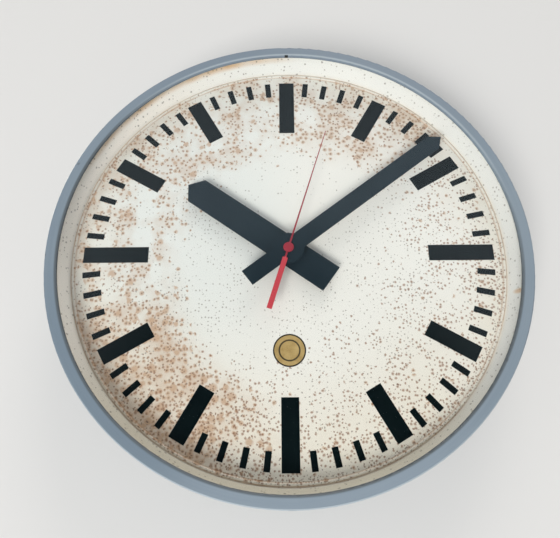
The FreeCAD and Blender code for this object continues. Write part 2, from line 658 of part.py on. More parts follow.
# Bar hands: flat sheet with a blunt point and a square tail, bored for the sleeve of its hub
def make_bar_hand(label, clockwise, length, tail, width, point, lift, sleeve):
    body = new_body(label, clockwise)
    half = f"{width} / 2"
    sketch = new_sketch(body, lift=lift)
    polygon(sketch, [
        (f"-{half}", f"-{tail}"),
        (half, f"-{tail}"),
        (half, f"{length} - {point}"),
        ("0", length),
        (f"-{half}", f"{length} - {point}"),
    ])
    pad(body, sketch, "Sizes.hand_sheet")
    if label == "minute_hand":
        pad_round(body, "0", "0", "Sizes.minute_disc_diameter / 2", lift, "Sizes.hand_sheet")
    cut_round(body, "0", "0", f"{sleeve} + Sizes.press_gap", lift, "Sizes.hand_sheet")


# Hubs of the bar hands: turned brass, a flange behind the hand and a sleeve through it
def make_collet(label, flange, sleeve, bore, back, boss):
    body = new_body(label)
    flange_back = f"{back} - Sizes.collet_flange"
    turn(body, [
        (bore, f"{flange_back} - {boss}"),
        (f"{sleeve} + Sizes.collet_wall / 2", f"{flange_back} - {boss}"),
        (f"{sleeve} + Sizes.collet_wall / 2", flange_back),
        (flange, flange_back),
        (flange, back),
        (sleeve, back),
        (sleeve, f"{back} + Sizes.hand_sheet"),
        (bore, f"{back} + Sizes.hand_sheet"),
    ] if boss != "0" else [
        (bore, flange_back),
        (flange, flange_back),
        (flange, back),
        (sleeve, back),
        (sleeve, f"{back} + Sizes.hand_sheet"),
        (bore, f"{back} + Sizes.hand_sheet"),
    ])


# Second hand: thin sheet with a tapering pointer, an eye, a narrow neck and a bar as counterweight
def make_second_hand():
    body = new_body("second_hand", SECOND_REST)
    lift = "Places.second_back"
    root = "Sizes.second_root_width / 2"
    tip = "Sizes.second_tip_width / 2"
    bar = "Sizes.second_tail_width / 2"
    pointer = new_sketch(body, lift=lift)
    polygon(pointer, [
        (f"-{bar}", "-Sizes.second_hand_tail"),
        (bar, "-Sizes.second_hand_tail"),
        (bar, "-Sizes.second_tail_start"),
        (root, "-Sizes.second_tail_start"),
        (root, "0"),
        (tip, "Sizes.second_hand_length"),
        (f"-{tip}", "Sizes.second_hand_length"),
        (f"-{root}", "0"),
        (f"-{root}", "-Sizes.second_tail_start"),
        (f"-{bar}", "-Sizes.second_tail_start"),
    ])
    pad(body, pointer, "Sizes.second_sheet")
    pad_round(body, "0", "0", "Sizes.second_eye_diameter / 2", lift, "Sizes.second_sheet")
    cut_round(body, "0", "0", "Places.second_pin + Sizes.press_gap", lift, "Sizes.second_sheet")


# Second hub: a turned disc pressed on the pin, with its front edge rounded
def make_second_hub():
    body = new_body("second_hub")
    radius = "Sizes.second_hub_diameter / 2"
    pad_round(body, "0", "0", radius, "Places.second_face", "Sizes.second_hub_height")
    cut_round(body, "0", "0", "Places.second_pin + Sizes.press_gap", "Places.second_face",
              "Sizes.second_hub_height - Sizes.pipe_proud")
    round_edges(body, [(radius, "Places.hub_face", "Sizes.second_hub_height / 2")])


# Rings and nut that clamp the movement's bush in the dial
def make_bush_clamp():
    loose = "Places.bush_radius + Sizes.bush_clearance"
    gasket = new_body("movement_gasket")
    pad_ring(gasket, "Sizes.gasket_diameter / 2", loose, "Places.movement_face", "Sizes.gasket_thickness")
    washer = new_body("bush_washer")
    pad_ring(washer, "Sizes.washer_diameter / 2", loose, "Places.dial_face", "Sizes.washer_thickness")
    nut = new_body("bush_nut")
    sketch = new_sketch(nut, lift="Places.nut_back")
    hexagon(sketch, "0", "0", "Sizes.bush_nut_flats")
    circle(sketch, "0", "0", "Places.bush_radius + Sizes.thread_gap")
    pad(nut, sketch, "Sizes.bush_nut_height")


# Movement housing: moulded box open to the back, with steps for the cover and the middle plate, a battery
# bay under the train, the threaded bush, the minute wheel's stud and two front bearings
def make_movement_housing():
    body = new_body("movement_housing")
    depth = "Places.movement_face - Places.cover_back"
    pad_block(body, "-Places.half_width", "Places.housing_floor", "Places.half_width", "Sizes.movement_top",
              "Places.cover_back", depth)
    recess = "Places.half_width - Sizes.housing_wall"
    cut_block(body, f"-({recess})", "Places.train_floor - Sizes.housing_ledge", recess,
              "Sizes.movement_top - Sizes.housing_wall", "Places.cover_back", "Sizes.housing_wall")
    cut_block(body, "-Places.cavity_half", "Places.train_floor", "Places.cavity_half", "Places.cavity_top",
              "Places.cover_back", "Places.plate_top - Places.cover_back")
    front_half = "(Places.cavity_half - Sizes.housing_ledge)"
    cut_block(body, f"-{front_half}", "Places.train_floor + Sizes.housing_ledge", front_half,
              "Places.cavity_top - Sizes.housing_ledge", "Places.plate_top",
              "Places.front_inner - Places.plate_top")
    cut_block(body, "-Places.battery_x", "Places.bay_floor", "Places.battery_x", "Places.bay_top",
              "Places.cover_back", "Places.front_inner - Places.cover_back")
    pad_round(body, "0", "0", "Places.bush_radius", "Places.movement_face",
              "Places.bush_end - Places.movement_face")
    cut_round(body, "0", "0", "Places.hour_pipe + Sizes.running_gap", "Places.front_inner",
              "Places.bush_end - Places.front_inner")
    stud_back = "(Places.minute_wheel_top - Sizes.wheel_sheet)"
    pad_round(body, "Places.stud_x", "Places.stud_y", "Sizes.stud_diameter / 2", stud_back,
              f"Places.front_inner - {stud_back}")
    for across, up in (("Places.third_x", "Places.third_y"), ("Places.knob_x", "Places.knob_y")):
        boss_back = "Places.front_inner - Sizes.boss_height"
        pad_round(body, across, up, "Sizes.boss_diameter / 2", boss_back, "Sizes.boss_height")
        cut_round(body, across, up, "Places.pivot_radius + Sizes.running_gap", boss_back,
                  "Sizes.pivot_length + Sizes.pivot_shake")


# Movement cover: plate set into the back of the housing, with the rear bearings and a hole for the knob
def make_movement_cover():
    body = new_body("movement_cover")
    half = "(Places.half_width - Sizes.housing_wall - Sizes.seat_gap)"
    pad_block(body, f"-{half}", "Places.train_floor - Sizes.housing_ledge + Sizes.seat_gap", half,
              "Sizes.movement_top - Sizes.housing_wall - Sizes.seat_gap", "Places.cover_back",
              "Sizes.housing_wall")
    bearings = [
        ("0", "0", "Places.second_pin"),
        ("Places.third_x", "Places.third_y", "Places.pivot_radius"),
        ("Places.step_x", "Places.step_y", "Places.pivot_radius"),
        ("Places.rotor_x", "Places.rotor_y", "Places.pivot_radius"),
    ]
    hole_depth = "(Sizes.pivot_length + Sizes.pivot_shake)"
    for across, up, radius in bearings:
        pad_round(body, across, up, "Sizes.boss_diameter / 2", "Places.cover_inner", "Sizes.boss_height")
        cut_round(body, across, up, f"{radius} + Sizes.running_gap",
                  f"Places.cover_inner + Sizes.boss_height - {hole_depth}", hole_depth)
    cut_round(body, "Places.knob_x", "Places.knob_y", "Sizes.knob_arbor_diameter / 2 + Sizes.running_gap",
              "Places.cover_back", "Sizes.housing_wall")


# Middle plate: splits the train, with bearings for the step wheel, the rotor and the minute arbor, holes
# that let two pinions through, and posts for the stator and the circuit board
def make_middle_plate():
    body = new_body("middle_plate")
    half = "(Places.cavity_half - Sizes.seat_gap)"
    pad_block(body, f"-{half}", "Places.train_floor + Sizes.seat_gap", half,
              "Places.cavity_top - Sizes.seat_gap", "Places.plate_back", "Sizes.plate_sheet")
    board_right = "Places.board_left + Sizes.board_width"
    posts = [
        ("Places.stator_left + Sizes.stator_leg / 2", "Places.stator_top - Sizes.stator_leg / 2"),
        ("Places.stator_right - Sizes.stator_leg / 2", "Places.stator_bottom + Sizes.stator_leg / 2"),
        ("Places.board_left + Sizes.post_inset", "Places.board_top - Sizes.post_inset"),
        (f"{board_right} - Sizes.post_inset", "Places.board_top - Sizes.post_inset"),
    ]
    for across, up in posts:
        pad_round(body, across, up, "Sizes.post_diameter / 2", "Places.stator_face",
                  "Places.plate_back - Places.stator_face")
    holes = [
        ("0", "0", "Places.minute_pipe - Sizes.pipe_proud + Sizes.running_gap"),
        ("Places.third_x", "Places.third_y", "Places.third_pinion_radius + Sizes.screw_clearance"),
        ("Places.knob_x", "Places.knob_y", "Places.knob_pinion_radius + Sizes.screw_clearance"),
        ("Places.step_x", "Places.step_y", "Places.pivot_radius + Sizes.running_gap"),
        ("Places.rotor_x", "Places.rotor_y", "Places.pivot_radius + Sizes.running_gap"),
    ]
    for across, up, radius in holes:
        cut_round(body, across, up, radius, "Places.plate_back", "Sizes.plate_sheet")


# Stator: soft-iron frame with a hole round the rotor and one leg through the coil
def make_stator():
    body = new_body("stator")
    pad_block(body, "Places.stator_left", "Places.stator_bottom", "Places.stator_right", "Places.stator_top",
              "Places.stator_back", "Sizes.stator_sheet")
    cut_block(body, "Places.stator_left + Sizes.stator_leg", "Places.window_bottom", "Places.core_left",
              "Places.window_top", "Places.stator_back", "Sizes.stator_sheet")
    cut_round(body, "Places.rotor_x", "Places.rotor_y", "Places.rotor_hole", "Places.stator_back",
              "Sizes.stator_sheet")


# Coil: copper winding between two bobbin flanges, round the stator's right leg
def make_coil():
    body = new_body("coil")
    bottom = "(Places.window_bottom + Sizes.coil_gap)"
    top = "(Places.window_top - Sizes.coil_gap)"
    reach = "(Sizes.coil_build + Sizes.core_clearance)"
    half = "(Places.coil_half - Sizes.coil_flange_rise)"
    pad_block(body, f"Places.core_left - {reach}", bottom, f"Places.stator_right + {reach}", top,
              f"Places.coil_middle - {half}", f"2 * {half}")
    for flange_bottom in (bottom, f"({top} - Sizes.coil_flange)"):
        pad_block(body, "Places.core_left - Places.coil_reach", flange_bottom,
                  "Places.stator_right + Places.coil_reach", f"{flange_bottom} + Sizes.coil_flange",
                  "Places.coil_middle - Places.coil_half", "2 * Places.coil_half")
    tunnel = new_sketch(body, "XZ_Plane")
    rectangle(tunnel, "Places.core_left - Sizes.core_clearance",
              "Places.stator_back - Sizes.core_clearance",
              "Places.stator_right + Sizes.core_clearance",
              "Places.stator_face + Sizes.core_clearance")
    feature = cut(body, tunnel, f"2 * {top}")
    feature.SideType = "Symmetric"


# Circuit board on its posts, and the quartz crystal's can on the back of it
def make_circuit():
    board = new_body("circuit_board")
    pad_block(board, "Places.board_left", "Places.board_top - Sizes.board_height",
              "Places.board_left + Sizes.board_width", "Places.board_top", "Places.board_back",
              "Sizes.board_sheet")
    crystal = new_body("quartz_crystal")
    radius = "Sizes.crystal_diameter / 2"
    sketch = new_sketch(crystal, "YZ_Plane", "Places.board_left + Sizes.board_gap + Sizes.post_inset")
    circle(sketch, "Places.board_top - Sizes.board_height / 2", f"Places.board_back - {radius}", radius)
    pad(crystal, sketch, "Sizes.crystal_length")


# Battery cell with its nub, and a bulged contact spring at each end
def make_battery():
    left = "(Places.battery_x - Sizes.contact_sheet - Sizes.contact_room)"
    cell = new_body("battery")
    can = new_sketch(cell, "YZ_Plane", f"-{left}")
    circle(can, "Places.battery_y", "Places.battery_z", "Sizes.battery_diameter / 2")
    pad(cell, can, "Sizes.battery_length - Sizes.battery_nub_length")
    nub = new_sketch(cell, "YZ_Plane", f"{left} - Sizes.battery_nub_length")
    circle(nub, "Places.battery_y", "Places.battery_z", "Sizes.battery_nub_diameter / 2")
    pad(cell, nub, "Sizes.battery_nub_length")
    contacts = new_body("battery_contacts")
    half = "Sizes.contact_width / 2"
    bulge = "Sizes.contact_bulge_diameter / 2"
    for plate_left, bulge_left in (("-Places.battery_x", f"-{left} - Sizes.contact_room"),
                                   ("Places.battery_x - Sizes.contact_sheet", left)):
        plate = new_sketch(contacts, "YZ_Plane", plate_left)
        rectangle(plate, f"Places.battery_y - {half}", f"Places.battery_z - {half}",
                  f"Places.battery_y + {half}", f"Places.battery_z + {half}")
        pad(contacts, plate, "Sizes.contact_sheet")
        bump = new_sketch(contacts, "YZ_Plane", bulge_left)
        circle(bump, "Places.battery_y", "Places.battery_z", bulge)
        pad(contacts, bump, "Sizes.contact_room")


def disc(radius, bottom, top):
    """Cylinder about the z axis between two heights."""
    return Part.makeCylinder(radius, top - bottom, FreeCAD.Vector(0, 0, bottom))


def gear(teeth, module, bottom, top, first_tooth):
    """Straight-flanked gear between two heights, with a tooth at the angle first_tooth in radians."""
    pitch = 2 * math.pi / teeth
    root = module * (teeth / 2 - DEDENDUM)
    crest = module * (teeth / 2 + ADDENDUM)
    points = []
    for tooth in range(teeth):
        middle = first_tooth + tooth * pitch
        root_half = ROOT_SHARE * pitch / 2
        tip_half = TIP_SHARE * pitch / 2
        for radius, angle in ((root, -root_half), (crest, -tip_half), (crest, tip_half), (root, root_half)):
            points.append(FreeCAD.Vector(radius * math.cos(middle + angle),
                                         radius * math.sin(middle + angle), bottom))
    outline = Part.makePolygon(points + points[:1])
    return Part.Face(outline).extrude(FreeCAD.Vector(0, 0, top - bottom))


def meshing_tooth(direction, teeth, mate_tooth, mate_teeth):
    """Angle of a tooth of a gear that meshes with a mate at direction (radians, mate to gear)."""
    mate_pitch = 2 * math.pi / mate_teeth
    ahead = (mate_tooth - direction) % mate_pitch
    return direction + math.pi - ahead * mate_teeth / teeth + math.pi / teeth


def make_wheel(label, solids, bore=None, across="0", up="0"):
    """Joins the solids of a wheel, bores it and puts it on its arbor's place."""
    shape = solids[0].fuse(solids[1:]) if len(solids) > 1 else solids[0]
    if bore is not None:
        box = shape.BoundBox
        shape = shape.cut(disc(bore, box.ZMin - 1, box.ZMax + 1))
    piece = document.addObject("Part::Feature", label)
    piece.Label = label
    piece.Shape = shape.removeSplitter()
    stand_up(piece, 0, across, up)


# Train: wheels, pinions and arbors, each pair in mesh as the hands stand
def make_train():
    sheet = value("Sizes.wheel_sheet")
    slack = value("Sizes.level_gap") / 2
    running = value("Sizes.running_gap")
    pressed = value("Sizes.press_gap")
    arbor = value("Sizes.arbor_diameter") / 2
    pivot = value("Places.pivot_radius")
    pin_radius = value("Places.second_pin")
    minute_radius = value("Places.minute_pipe")
    tail_radius = minute_radius - value("Sizes.pipe_proud")
    third_way = math.radians(THIRD_DIRECTION)
    motion_way = math.radians(MOTION_DIRECTION)
    knob_way = math.radians(KNOB_DIRECTION)
    step_way = math.radians(STEP_DIRECTION)
    rotor_way = math.radians(ROTOR_DIRECTION)
    third_module = value("Places.third_module")
    centre_module = value("Places.centre_module")
    motion_module = value("Places.motion_module")
    second_module = value("Places.second_module")
    rotor_module = value("Places.rotor_module")
    hour_top = value("Places.hour_wheel_top")
    minute_top = value("Places.minute_wheel_top")
    centre_top = value("Places.centre_wheel_top")
    plate_back = value("Places.plate_back")
    third_top = value("Places.third_wheel_top")
    second_top = value("Places.second_wheel_top")
    step_top = value("Places.step_wheel_top")
    rotor_top = value("Places.rotor_top")
    shake = value("Sizes.pivot_shake")
    pivot_length = value("Sizes.pivot_length")
    rear_shoulder = value("Places.cover_inner + Sizes.boss_height") + shake
    rear_tip = rear_shoulder - pivot_length
    front_shoulder = value("Places.front_inner - Sizes.boss_height") - shake
    front_tip = front_shoulder + pivot_length
    plate_shoulder = plate_back - shake

    # Second wheel with its pinion on the pin, and the pin itself from the cover to the second hand
    make_wheel("second_wheel", [
        gear(SECOND_WHEEL_TEETH, second_module, second_top - sheet, second_top, step_way),
        gear(SECOND_PINION_TEETH, third_module, second_top, third_top + slack, third_way),
    ], pin_radius + pressed)
    pin_end = value("Places.hub_face") - value("Sizes.pipe_proud")
    make_wheel("second_arbor", [disc(pin_radius, rear_tip, pin_end)])

    # Third wheel and its pinion on one long arbor
    make_wheel("third_wheel", [
        gear(THIRD_WHEEL_TEETH, third_module, third_top - sheet, third_top,
             meshing_tooth(third_way, THIRD_WHEEL_TEETH, third_way, SECOND_PINION_TEETH)),
        gear(THIRD_PINION_TEETH, centre_module, centre_top - sheet - slack, centre_top + slack,
             third_way + math.pi),
        disc(arbor, rear_shoulder, front_shoulder),
        disc(pivot, rear_tip, front_tip),
    ], across="Places.third_x", up="Places.third_y")

    # Centre wheel, which drives the minute arbor by friction and slips when the hands are set
    make_wheel("centre_wheel", [
        gear(CENTRE_WHEEL_TEETH, centre_module, centre_top - sheet, centre_top,
             meshing_tooth(third_way + math.pi, CENTRE_WHEEL_TEETH, third_way + math.pi, THIRD_PINION_TEETH)),
    ], tail_radius + running)

    # Minute arbor: tail in the middle plate, cannon pinion and pipe to the minute hand
    make_wheel("minute_arbor", [
        disc(tail_radius, plate_back, centre_top + slack),
        gear(CANNON_PINION_TEETH, motion_module, centre_top + slack, minute_top + slack, motion_way),
        disc(minute_radius, minute_top + slack, value("Places.minute_face + Sizes.pipe_proud")),
    ], pin_radius + running)

    # Minute wheel with its pinion, on the housing's stud
    minute_tooth = meshing_tooth(motion_way, MINUTE_WHEEL_TEETH, motion_way, CANNON_PINION_TEETH)
    make_wheel("minute_wheel", [
        gear(MINUTE_WHEEL_TEETH, motion_module, minute_top - sheet, minute_top, minute_tooth),
        gear(MINUTE_PINION_TEETH, motion_module, minute_top, hour_top, motion_way + math.pi),
    ], value("Sizes.stud_diameter") / 2 + running, "Places.stud_x", "Places.stud_y")

    # Hour wheel with the pipe that runs in the bush
    make_wheel("hour_wheel", [
        gear(HOUR_WHEEL_TEETH, motion_module, hour_top - sheet, hour_top,
             meshing_tooth(motion_way + math.pi, HOUR_WHEEL_TEETH,
                           motion_way + math.pi, MINUTE_PINION_TEETH)),
        disc(value("Places.hour_pipe"), hour_top - sheet, value("Places.hour_face + Sizes.pipe_proud")),
    ], minute_radius + running)

    # Setting knob behind the cover, with its arbor and the pinion that turns the minute wheel
    knob_front = value("Places.cover_back - Sizes.knob_gap")
    knob_back = knob_front - value("Sizes.knob_height")
    knob_radius = value("Sizes.knob_diameter") / 2
    knurl = value("Sizes.knurl_depth") / (ADDENDUM + DEDENDUM)
    rim = gear(KNURL_COUNT, knurl, knob_back, knob_front, 0).common(disc(knob_radius, knob_back, knob_front))
    rim = rim.fuse(disc(knob_radius - value("Sizes.knurl_depth"), knob_back, knob_front))
    make_wheel("set_knob", [
        rim,
        disc(value("Sizes.knob_arbor_diameter") / 2, knob_front, front_shoulder),
        gear(KNOB_PINION_TEETH, motion_module, minute_top - sheet - slack, minute_top + slack,
             meshing_tooth(knob_way, KNOB_PINION_TEETH, minute_tooth, MINUTE_WHEEL_TEETH)),
        disc(pivot, front_shoulder, front_tip),
    ], across="Places.knob_x", up="Places.knob_y")

    # Step wheel between rotor and second wheel
    step_tooth = meshing_tooth(step_way, STEP_PINION_TEETH, step_way, SECOND_WHEEL_TEETH)
    make_wheel("step_wheel", [
        gear(STEP_WHEEL_TEETH, rotor_module, step_top - sheet, step_top, rotor_way),
        gear(STEP_PINION_TEETH, second_module, step_top, second_top + slack, step_tooth),
        disc(arbor, rear_shoulder, plate_shoulder),
        disc(pivot, rear_tip, plate_shoulder + pivot_length),
    ], across="Places.step_x", up="Places.step_y")

    # Rotor: magnet and pinion on a fine arbor
    make_wheel("rotor", [
        disc(value("Sizes.rotor_diameter") / 2, value("Places.rotor_back"), rotor_top),
        gear(ROTOR_PINION_TEETH, rotor_module, rotor_top, step_top + slack,
             meshing_tooth(rotor_way, ROTOR_PINION_TEETH, rotor_way, STEP_WHEEL_TEETH)),
        disc(pivot, rear_tip, plate_shoulder + pivot_length),
    ], across="Places.rotor_x", up="Places.rotor_y")


make_back_case()
make_bezel_ring()
make_bezel_screws()
make_bezel_nuts()
make_glass_pane()
make_glass_seal()
make_dial_plate()
make_marks("quarter_marks", "Sizes.quarter_mark_length", "Sizes.quarter_mark_width", [0], 4)
make_marks("hour_marks", "Sizes.hour_mark_length", "Sizes.hour_mark_width", [5, 10], 4)
make_marks("minute_marks", "Sizes.minute_mark_length", "Sizes.minute_mark_width", [1, 2, 3, 4], 12)
make_dial_badge()
make_movement_housing()
make_movement_cover()
make_middle_plate()
make_bush_clamp()
make_stator()
make_coil()
make_circuit()
make_battery()
make_train()
HOUR_SLEEVE = "(Places.hour_pipe + Sizes.collet_wall)"
MINUTE_SLEEVE = "(Places.minute_pipe + Sizes.collet_wall)"
make_collet("hour_collet", "Sizes.hour_collet_diameter / 2", HOUR_SLEEVE,
            "Places.hour_pipe + Sizes.press_gap", "Places.hour_back", "0")
make_collet("minute_collet", "Sizes.minute_collet_diameter / 2", MINUTE_SLEEVE,
            "Places.minute_pipe + Sizes.press_gap", "Places.minute_back", "Sizes.minute_boss_height")
make_bar_hand("hour_hand", HOUR_REST, "Sizes.hour_hand_length", "Sizes.hour_hand_tail",
              "Sizes.hour_hand_width", "Sizes.hour_hand_point", "Places.hour_back", HOUR_SLEEVE)
make_bar_hand("minute_hand", MINUTE_REST, "Places.minute_tip", "Sizes.minute_hand_tail",
              "Sizes.minute_hand_width", "Sizes.minute_hand_point", "Places.minute_back", MINUTE_SLEEVE)
make_second_hand()
make_second_hub()

document.recompute()
failed = [item.Label for item in document.Objects if "Invalid" in item.State or "Error" in item.State]
if failed:
    raise RuntimeError(f"failed objects: {failed}")
for piece in pieces:
    if piece.Shape.isNull() or not piece.Shape.isValid():
        raise RuntimeError(f"bad shape: {piece.Label}")

os.makedirs("parts", exist_ok=True)
for piece in pieces:
    piece.Shape.exportStep(f"parts/{piece.Label}.step")
    print(piece.Label, len(piece.Shape.Solids), round(piece.Shape.Volume, 1))
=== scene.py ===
import math

import bpy
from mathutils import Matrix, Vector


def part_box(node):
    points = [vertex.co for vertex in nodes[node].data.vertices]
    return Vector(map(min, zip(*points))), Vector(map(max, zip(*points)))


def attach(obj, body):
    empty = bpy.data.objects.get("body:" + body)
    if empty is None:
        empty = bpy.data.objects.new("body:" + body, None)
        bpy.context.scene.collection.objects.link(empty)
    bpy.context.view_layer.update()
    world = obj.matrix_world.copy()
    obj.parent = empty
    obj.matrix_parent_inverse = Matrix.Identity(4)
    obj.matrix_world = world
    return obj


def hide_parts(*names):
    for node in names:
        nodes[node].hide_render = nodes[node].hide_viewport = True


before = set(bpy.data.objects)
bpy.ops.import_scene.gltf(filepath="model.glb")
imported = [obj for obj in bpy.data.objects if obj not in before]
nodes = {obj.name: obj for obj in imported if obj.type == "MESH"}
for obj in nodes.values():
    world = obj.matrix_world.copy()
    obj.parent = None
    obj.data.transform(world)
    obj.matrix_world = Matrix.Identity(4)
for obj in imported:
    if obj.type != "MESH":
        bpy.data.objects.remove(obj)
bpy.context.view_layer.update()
bpy.context.scene.view_settings.view_transform = "Standard"


# Back case: a pan drawn from sheet steel and stove enamelled in blue-grey, so its paint has a fine orange
# peel, rubs where it hung, and rust at its opening. It hangs by its keyhole, the origin, and carries the rest.
MM = 0.001
bezel_low, bezel_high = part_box("bezel_ring")
AXIS_HEIGHT = (bezel_low.z + bezel_high.z) / 2
CASE_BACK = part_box("back_case")[1].y
OPENING_RADIUS = 55 * MM
DOWN = 180
CASE_DARK = (0.215, 0.265, 0.31, 1)
CASE_LIGHT = (0.255, 0.308, 0.352, 1)
CASE_BARE = (0.40, 0.42, 0.43, 1)
CASE_CHIP = (0.16, 0.17, 0.18, 1)
CASE_RUST = (0.27, 0.14, 0.075, 1)


def add_node(tree, kind, links=None, **settings):
    """Adds a node, sets its properties and fills inputs with sockets or plain values."""
    node = tree.nodes.new(kind)
    for name, setting in settings.items():
        setattr(node, name, setting)
    for key, source in (links or {}).items():
        if isinstance(source, bpy.types.NodeSocket):
            tree.links.new(source, node.inputs[key])
        else:
            node.inputs[key].default_value = source
    return node


def new_material(name):
    """New material; returns it with its tree and its Principled shader."""
    material = bpy.data.materials.new(name)
    material.use_nodes = True
    return material, material.node_tree, material.node_tree.nodes["Principled BSDF"]


def calc(tree, operation, first, second=0.0, third=0.0):
    """One Math node; returns its result."""
    return add_node(tree, "ShaderNodeMath", {0: first, 1: second, 2: third}, operation=operation).outputs[0]


def times(tree, product, *factors):
    """Product of two or more values."""
    for factor in factors:
        product = calc(tree, "MULTIPLY", product, factor)
    return product


def lay_over(tree, share, under, over):
    """Lays one colour over another; returns the mixed colour."""
    return add_node(tree, "ShaderNodeMix", {0: share, 6: under, 7: over}, data_type="RGBA").outputs[2]


def fade(tree, source, start, end, low=0.0, high=1.0):
    """Smooth step of a value from low at start to high at end."""
    return add_node(tree, "ShaderNodeMapRange", {0: source, 1: start, 2: end, 3: low, 4: high},
                    interpolation_type="SMOOTHSTEP").outputs[0]


def vector_math(tree, operation, first, second=(0, 0, 0), output=0):
    """One Vector Math node; returns its vector, or its value where that is named."""
    return add_node(tree, "ShaderNodeVectorMath", {0: first, 1: second}, operation=operation).outputs[output]


def own_place(tree):
    """Object coordinates."""
    return add_node(tree, "ShaderNodeTexCoord").outputs["Object"]


def stretch(tree, place, scale):
    """Place scaled along its axes."""
    return add_node(tree, "ShaderNodeMapping", {"Vector": place, "Scale": scale}).outputs[0]


def dial_place(tree, height=AXIS_HEIGHT):
    """Object coordinates moved to the dial's axis, or to another height on it."""
    return add_node(tree, "ShaderNodeMapping", {
        "Vector": own_place(tree), "Location": (0, 0, -height),
    }).outputs[0]


def axes_of(tree, place):
    """The three axes of a place."""
    return add_node(tree, "ShaderNodeSeparateXYZ", {0: place}).outputs


def flat_place(tree, place):
    """Place across the dial, with its depth left out."""
    axes = axes_of(tree, place)
    return add_node(tree, "ShaderNodeCombineXYZ", {"X": axes["X"], "Y": axes["Z"]}).outputs[0]


def length_of(tree, vector):
    """Length of a vector; of a flat place, the radius from the axis."""
    return vector_math(tree, "LENGTH", vector, output="Value")


def toward(tree, bearing, clockwise):
    """Cosine of the angle between a bearing and a direction in degrees clockwise from the top."""
    way = (math.sin(math.radians(clockwise)), math.cos(math.radians(clockwise)), 0)
    return vector_math(tree, "DOT_PRODUCT", bearing, way, "Value")


def new_group(name, inputs, outputs):
    """Empty shader node group with named inputs and outputs."""
    group = bpy.data.node_groups.new(name, "ShaderNodeTree")
    for label, kind in inputs:
        group.interface.new_socket(label, in_out="INPUT", socket_type=kind)
    for label in outputs:
        group.interface.new_socket(label, in_out="OUTPUT", socket_type="NodeSocketFloat")
    return group, group.nodes.new("NodeGroupInput").outputs, group.nodes.new("NodeGroupOutput").inputs


# Mottle is the soft change of tone in old paint, plastic and metal, from Low to High
mottle, given, result = new_group("Mottle", [
    ("Vector", "NodeSocketVector"), ("Scale", "NodeSocketFloat"), ("Detail", "NodeSocketFloat"),
    ("Low", "NodeSocketFloat"), ("High", "NodeSocketFloat"),
], ["Value"])
cloud = add_node(mottle, "ShaderNodeTexNoise", {
    "Vector": given["Vector"], "Scale": given["Scale"], "Detail": given["Detail"],
}).outputs[0]
mottle.links.new(add_node(mottle, "ShaderNodeMapRange", {
    0: cloud, 1: 0.3, 2: 0.7, 3: given["Low"], 4: given["High"],
}).outputs[0], result["Value"])


def speckle_group(name, dimensions):
    """Scatter of round spots, such as rust pricks, dirt or chips. Share is the part of the cells that have
    a spot, Radius its size as part of a cell, Mask the spots and Core their middles."""
    group, given, result = new_group(name, [
        ("Vector", "NodeSocketVector"), ("Scale", "NodeSocketFloat"), ("Share", "NodeSocketFloat"),
        ("Radius", "NodeSocketFloat"),
    ], ["Mask", "Core"])
    ragged = add_node(group, "ShaderNodeTexNoise", {
        "Vector": given["Vector"], "Scale": times(group, given["Scale"], 2.2), "Detail": 2.0,
    }).outputs["Color"]
    ragged = add_node(group, "ShaderNodeVectorMath", {
        0: vector_math(group, "SUBTRACT", ragged, (0.5, 0.5, 0.5)),
        "Scale": calc(group, "DIVIDE", 0.4, given["Scale"]),
    }, operation="SCALE").outputs[0]
    cells = add_node(group, "ShaderNodeTexVoronoi", {
        "Vector": vector_math(group, "ADD", given["Vector"], ragged), "Scale": given["Scale"],
    }, voronoi_dimensions=dimensions).outputs
    chance = add_node(group, "ShaderNodeSeparateColor", {0: cells["Color"]}).outputs
    present = calc(group, "LESS_THAN", chance[0], given["Share"])
    reach = times(group, calc(group, "MULTIPLY_ADD", chance[1], 0.65, 0.35), given["Radius"])
    spot = fade(group, cells["Distance"], times(group, reach, 0.4), reach, 1.0, 0.0)
    middle = fade(group, cells["Distance"], 0.07, 0.21, 1.0, 0.0)
    group.links.new(times(group, spot, present), result["Mask"])
    group.links.new(times(group, middle, present), result["Core"])
    return group


speckle = speckle_group("Speckle", "3D")


def mottled(tree, vector, scale, low=0.0, high=1.0, detail=3.0):
    """Places the mottle group; returns its value."""
    return add_node(tree, "ShaderNodeGroup", {
        "Vector": vector, "Scale": scale, "Detail": detail, "Low": low, "High": high,
    }, node_tree=mottle).outputs["Value"]


def two_tone(tree, place, scale, dark, light):
    """Colour that changes softly between two tones."""
    return lay_over(tree, mottled(tree, place, scale), dark, light)


def speckled(tree, group, vector, scale, share, radius):
    """Places a speckle group; returns its outputs, Mask and Core."""
    return add_node(tree, "ShaderNodeGroup", {
        "Vector": vector, "Scale": scale, "Share": share, "Radius": radius,
    }, node_tree=group).outputs


def feed(tree, shader, colour, roughness):
    """Leads a colour and a roughness to a shader."""
    tree.links.new(colour, shader.inputs["Base Color"])
    tree.links.new(roughness, shader.inputs["Roughness"])


def raise_grain(tree, shader, height, strength, distance):
    """Bump of a given height in metres on the shader's normal."""
    bump = add_node(tree, "ShaderNodeBump", {"Strength": strength, "Distance": distance, "Height": height})
    tree.links.new(bump.outputs[0], shader.inputs["Normal"])


def dress(material, *names):
    """Gives CAD nodes their material."""
    for name in names:
        nodes[name].data.materials.clear()
        nodes[name].data.materials.append(material)


case_paint, tree, shader = new_material("case_paint")
place = dial_place(tree)
flat = flat_place(tree, place)
radius = length_of(tree, flat)
bearing = vector_math(tree, "NORMALIZE", flat)
from_keyhole = length_of(tree, stretch(tree, own_place(tree), (1, 0, 0.6)))
on_back = fade(tree, axes_of(tree, place)["Y"], CASE_BACK - 8 * MM, CASE_BACK - 2 * MM)
colour = two_tone(tree, place, 9.0, CASE_DARK, CASE_LIGHT)

